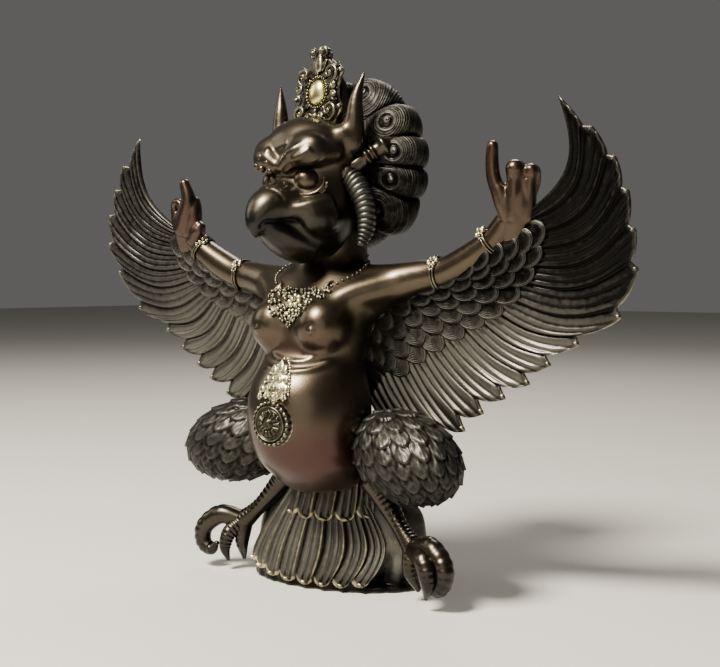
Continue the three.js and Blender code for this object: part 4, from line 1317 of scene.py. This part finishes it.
def bands(metal):
    """Armlets and bracelets: two thin rings side by side with a flower of grains on their front, and
    painted shade on their backs."""
    shapes = []
    t = np.linspace(0, 1, 400)
    line = spline(ARM, t)
    for across, radius, out in BANDS:
        i = np.argmin(np.abs(line[:, 0] - across))
        middle, along = line[i], unit(line[i + 1] - line[i - 1])
        wide = unit(np.cross(UP, along))
        deep = np.cross(along, wide)
        a = np.linspace(0, 2 * math.pi, 37)
        loop = wide * np.cos(a)[:, None] + deep * np.sin(a)[:, None]
        for shift in (-0.6, 0.6):
            shapes += pair(tube(middle + along * shift + loop * radius, (0.45, 0.45), 8, 80, along))
        along, out, side = squared(along, out)
        for sideways, size in ((-2.9, 1.5), (0, 2.5), (2.9, 1.5)):
            way = unit(out - side * sideways / radius)
            shapes += pair(*rosette(middle + way * (radius + 0.3), way, size, 6))
    # Painted shade on the bands' backs.
    cast("arm_bands", shapes, metal, warm=shaded(0, 0.5, -4, -1, axis=1), rounds=2, depth=0.36)


def surface_of(name):
    """A piece's surface, for rays to be cast on."""
    return BVHTree.FromObject(bpy.data.objects[name], bpy.context.evaluated_depsgraph_get())


def met(surface, start, way):
    """Where a ray meets a surface, and the surface's outward direction there."""
    place, facing, _, _ = surface.ray_cast(Vector(np.asarray(start, float) * MM), Vector(way))
    return np.array(place) / MM, np.array(facing)


def on_chest(skin, x, z):
    """Where a ray from the front meets the chest, and the skin's direction there."""
    return met(skin, (x, -100, z), (0, 1, 0))


# Flowers of the lace by place and size, and its grains by place.

LACE = (
    (0, 115.8, 3.3), (4.9, 117.6, 2.1), (8.8, 118.8, 2.0), (12.2, 120.2, 1.6), (4.6, 113.0, 2.1),
    (9.2, 115.4, 1.9), (12.8, 117.4, 1.5), (2.3, 119.6, 1.5), (6.6, 120.4, 1.4), (0, 111.0, 2.2),
    (2.9, 109.2, 1.6), (0, 106.9, 1.5), (6.8, 111.2, 1.4),
)
LACE_GRAINS = (
    (2.6, 113.4), (6.9, 115.6), (11.2, 117.2), (3.2, 117.6), (7.0, 118.6), (10.6, 120.6),
    (1.5, 108.6), (4.8, 110.6), (9.0, 113.0), (14.4, 119.4), (0.9, 120.4), (4.6, 120.6),
)


def necklace(metal):
    """A string of grains round the neck, each where a ray from above meets the shoulders, and a lace of
    flowers, grains and two crescents on the breastbone, where rays from the front meet it."""
    skin = surface_of("torso_and_arms")
    radius = sizes().chain_bead / MM
    shapes = []
    for turn in np.radians(np.linspace(34, 326, 42)):
        at, facing = met(skin, (20.5 * math.sin(turn), -8 - 15 * math.cos(turn), 146), (0, 0, -1))
        shapes.append(bead(at + facing * 0.5 * radius, radius))
    for x, z, size in LACE:
        for side in BOTH if x else (1,):
            at, facing = on_chest(skin, side * x, z)
            shapes += rosette(at + facing * 0.7, facing, size, 7 if size > 3 else 5)
    for x, z in LACE_GRAINS:
        for side in BOTH:
            at, facing = on_chest(skin, side * x, z)
            shapes.append(bead(at + facing * 0.6, 0.7))
    for side in BOTH:
        bend = np.radians(np.linspace(100, 300, 7))
        ring = [on_chest(skin, side * (13.6 + 2 * math.cos(a)), 121.6 + 2 * math.sin(a)) for a in bend]
        path = np.array([at + facing * 0.7 for at, facing in ring])
        shapes.append(tube(path, (0.3, 0.8, 0.3), 8, 24))
    cast("necklace", shapes, metal, rounds=2, depth=0.4)


WHEEL_AT = (1.0, 69.5)
WHEEL_RADIUS = 9.3
WHEEL_CONE = 0.006
WHEEL_RINGS = 64
SCALLOPS = 24

# Petals of the lotus by place, length and half-width.

LOTUS = (
    (0, 90.2, 4.2, 1.7), (2.3, 88.9, 3.6, 1.5), (1.5, 85.8, 2.3, 1.3), (4.2, 85.8, 2.5, 1.3),
    (5.2, 82.2, 2.7, 1.3), (2.8, 82.4, 2.1, 1.2), (0, 83.0, 1.8, 1.1),
)


def belly_front(x, z):
    """The y of the belly's skin: the front of the torso's oval at height z, at a place x across it."""
    table = np.array(TORSO)
    t = np.interp(z, table[:, 0], np.linspace(0, 1, len(table)))
    half, front, back = np.moveaxis(spline(table, t), -1, 0)[1:]
    return (front + back) / 2 - (back - front) / 2 * np.sqrt(np.clip(1 - (x / half) ** 2, 0.05, 1))


def on_belly(x, z, out):
    """A point that stands out from the belly's skin, and the skin's direction there."""
    y = belly_front(x, z)
    facing = unit((belly_front(x + 0.5, z) - y, -0.5, belly_front(x, z + 0.5) - y))
    return np.array((x, y, z)) + facing * out, facing


def medallion(metal):
    """A wheel on the belly: a hub, petals out to 5.5 mm, a rim at 6.6 mm and an edge of scallops, as one
    height over its disc, which falls away from the middle as r^2. A lotus of overlapping petals stands on
    it, with a row of grains down each side."""
    r = np.linspace(0, 1, WHEEL_RINGS)[:, None] * WHEEL_RADIUS
    a = round_turn(11 * SCALLOPS)
    scallop = np.abs(np.cos(SCALLOPS / 2 * a)) ** 0.5
    inner = 0.9 * np.abs(np.cos(7 * a)) ** 0.6 * step(2.4, 2.9, r) * step(0, 0.6, 5.5 - r)
    outer = 1.15 * scallop * step(7.3, 7.8, r) * step(0, 0.7, 8.5 + 0.8 * scallop - r)
    hub = 1.1 * np.sqrt(np.clip(1 - (r / 2.2) ** 2, 0, 1)) + 0.3 * ridge(r - 1.2, 0.3)
    disc = 1.3 * step(0, 0.9, WHEEL_RADIUS - r) - WHEEL_CONE * r**2
    high = disc + hub + inner + 0.9 * ridge(r - 6.6, 0.42) + outer
    x, z = WHEEL_AT[0] + r * np.cos(a), WHEEL_AT[1] + r * np.sin(a)
    top = np.stack([x, belly_front(x, z) - high, z], -1)
    skirt = top[-1:] + (0, 3.0, 0)
    wheel = grid(np.concatenate([top, skirt, 0 * skirt + (WHEEL_AT[0], -36, WHEEL_AT[1])]))
    under_lotus = on_belly(WHEEL_AT[0], 84.6, -1.9)[0]
    shapes = [wheel, ball(under_lotus, (0, 0.5, 1), 7.6, 6.0, 2.6, 20, 26)]
    for x, z, tall, wide in LOTUS:
        for side in BOTH if x else (1,):
            at, facing = on_belly(WHEEL_AT[0] + side * x, z, 1.3)
            shapes.append(petal(at, (0.07 * side * x, 0.3, 1), facing, tall / 2 + 0.4, wide))
    for x, z, size in ((-2, 80, 1.5), (2, 80, 1.5), (-5.4, 79.4, 1.3), (5.4, 79.4, 1.3)):
        at, facing = on_belly(WHEEL_AT[0] + x, z, 1.4)
        shapes += rosette(at, facing, size)
    edge = spline(((0.8, 93.6), (3.4, 90.2), (5.4, 85.8), (6.6, 80.8)), np.linspace(0, 1, 13))
    for x, z in edge:
        for side in BOTH:
            shapes.append(bead(on_belly(WHEEL_AT[0] + side * x, z, 0.3)[0], 0.6))
    cast("belly_medallion", shapes, metal, rounds=5, depth=0.34)


# Stage. A lamp has its direction and height in degrees, its distance and size in metres, and its power. The
# camera stands where the photographer's did.

LIGHTS = (
    ("key", -12, 52, 1.0, 0.3, 48),
    ("front", 22, 8, 1.5, 1.2, 5),
    ("soft", -70, 26, 1.2, 0.6, 3),
    ("rim", 205, 45, 1.2, 0.5, 6),
)
AIM_HEIGHT = 0.1
ROOM_LIGHT = 0.19
FLOOR_ROUGHNESS = 0.7
CAMERA_AT = (0.2821, -0.3703, 0.124)
CAMERA_DOWN, CAMERA_TURN = 2.66, 36
CAMERA_LENS, CAMERA_SENSOR = 56.85, 36


def stage():
    """A pale floor, soft studio lights and the camera."""
    half = sizes().floor_side / 2
    corners = np.array(((-half, -half, 0), (half, -half, 0), (-half, half, 0), (half, half, 0)))
    mesh = bpy.data.meshes.new("floor")
    mesh.from_pydata(corners.tolist(), [], [(0, 1, 3, 2)])
    tones = bpy.context.scene.garuda_colours
    mesh.materials.append(plain("matt_painted_card", tones.floor, FLOOR_ROUGHNESS))
    floor = bpy.data.objects.new("floor", mesh)
    bpy.context.scene.collection.objects.link(floor)

    world = bpy.data.worlds.new("studio")
    bpy.context.scene.world = world
    world.use_nodes = True
    background = world.node_tree.nodes["Background"]
    background.inputs["Color"].default_value = tones.room
    background.inputs["Strength"].default_value = ROOM_LIGHT
    for name, azimuth, elevation, distance, size, power in LIGHTS:
        lamp = bpy.data.lights.new(name, "AREA")
        lamp.shape = "DISK"
        lamp.size = size
        lamp.energy = power
        lamp.color = tones.lamp[:3]
        a, e = math.radians(azimuth), math.radians(elevation)
        at = np.array((math.sin(a) * math.cos(e), -math.cos(a) * math.cos(e), math.sin(e))) * distance
        holder = bpy.data.objects.new(name, lamp)
        holder.location = at + UP * AIM_HEIGHT
        holder.rotation_euler = (math.radians(90) - e, 0, a)
        bpy.context.scene.collection.objects.link(holder)
    lens = bpy.data.cameras.new("camera")
    lens.lens = CAMERA_LENS
    lens.sensor_width = CAMERA_SENSOR
    camera = bpy.data.objects.new("camera", lens)
    camera.location = CAMERA_AT
    camera.rotation_euler = (math.radians(90 - CAMERA_DOWN), 0, math.radians(CAMERA_TURN))
    bpy.context.scene.collection.objects.link(camera)
    bpy.context.scene.camera = camera


# Operators and panel

class Casting:
    """What the operators share: each calls its functions in order, with the finishes they take."""

    def execute(self, context):
        for build, *metals in self.builds:
            build(*map(finish, metals))
        return {"FINISHED"}


class CastBody(Casting, bpy.types.Operator):
    """Casts the belly, chest, shoulders and arms"""

    bl_idname = "garuda.body"
    bl_label = "Body"

    builds = ((torso_and_arms, SKIN),)


class CastHead(Casting, bpy.types.Operator):
    """Casts the head with its beak, horns, eyes and far brow"""

    bl_idname = "garuda.head"
    bl_label = "Head"

    builds = ((head, DARK), (brow_and_lids, SKIN))


class CastEars(Casting, bpy.types.Operator):
    """Casts the ears and the ribbed bands at the sides of the face"""

    bl_idname = "garuda.ears"
    bl_label = "Ears and side bands"

    builds = ((ears, DARK), (side_bands, COMBED))


class CastMane(Casting, bpy.types.Operator):
    """Casts the mane of curls"""

    bl_idname = "garuda.mane"
    bl_label = "Mane"

    builds = ((mane, COMBED),)


class CastCrown(Casting, bpy.types.Operator):
    """Casts the crown's plaque and its polished boss"""

    bl_idname = "garuda.crown"
    bl_label = "Crown"

    builds = ((crown, ORNAMENT, BARE),)


class CastWings(Casting, bpy.types.Operator):
    """Casts both wings' long feathers"""

    bl_idname = "garuda.wings"
    bl_label = "Wings"

    builds = ((wings, PLUMAGE),)


class CastCoverts(Casting, bpy.types.Operator):
    """Casts the rows of small feathers along the wings"""

    bl_idname = "garuda.coverts"
    bl_label = "Small wing feathers"

    builds = ((coverts, COMBED),)


class CastLegs(Casting, bpy.types.Operator):
    """Casts the feathered thighs, the shanks and the toes"""

    bl_idname = "garuda.legs"
    bl_label = "Legs"

    builds = ((thighs, PLUMAGE), (feet, DARK))


class CastTail(Casting, bpy.types.Operator):
    """Casts the tail fan and its two tiers of feathers"""

    bl_idname = "garuda.tail"
    bl_label = "Tail"

    builds = ((tail, PLUMAGE),)


class CastHands(Casting, bpy.types.Operator):
    """Casts both raised hands"""

    bl_idname = "garuda.hands"
    bl_label = "Hands"

    builds = ((hands, SKIN),)


class CastJewels(Casting, bpy.types.Operator):
    """Casts the arm bands, the necklace and the belly medallion"""

    bl_idname = "garuda.jewels"
    bl_label = "Jewels"

    builds = ((bands, ORNAMENT), (necklace, ORNAMENT), (medallion, ORNAMENT))


class SetStage(Casting, bpy.types.Operator):
    """Lays the floor and sets the lights and the camera"""

    bl_idname = "garuda.stage"
    bl_label = "Stage"

    builds = ((stage,),)


OPERATORS = (
    CastBody, CastHead, CastEars, CastMane, CastCrown, CastWings, CastCoverts, CastLegs, CastTail,
    CastHands, CastJewels, SetStage,
)


class GarudaPanel(bpy.types.Panel):
    """Lists the figure's pieces, colours and sizes"""

    bl_idname = "VIEW3D_PT_garuda"
    bl_label = "Cast bronze garuda"
    bl_space_type = "VIEW_3D"
    bl_region_type = "UI"
    bl_category = "Garuda"

    def draw(self, context):
        for group in (context.scene.garuda_colours, context.scene.garuda_sizes):
            for key in group.bl_rna.properties.keys():
                if key not in ("rna_type", "name"):
                    self.layout.prop(group, key)
        for operator in OPERATORS:
            self.layout.operator(operator.bl_idname)


def register():
    """Adds the add-on's settings, operators and panel."""
    for kind in (GarudaColours, GarudaSizes, *OPERATORS, GarudaPanel):
        bpy.utils.register_class(kind)
    bpy.types.Scene.garuda_colours = bpy.props.PointerProperty(type=GarudaColours)
    bpy.types.Scene.garuda_sizes = bpy.props.PointerProperty(type=GarudaSizes)


def unregister():
    """Takes them away again."""
    del bpy.types.Scene.garuda_sizes
    del bpy.types.Scene.garuda_colours
    for kind in reversed((GarudaColours, GarudaSizes, *OPERATORS, GarudaPanel)):
        bpy.utils.unregister_class(kind)


def main():
    """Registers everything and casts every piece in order."""
    register()
    for operator in OPERATORS:
        group, name = operator.bl_idname.split(".")
        getattr(getattr(bpy.ops, group), name)()


if __name__ == "__main__":
    main()
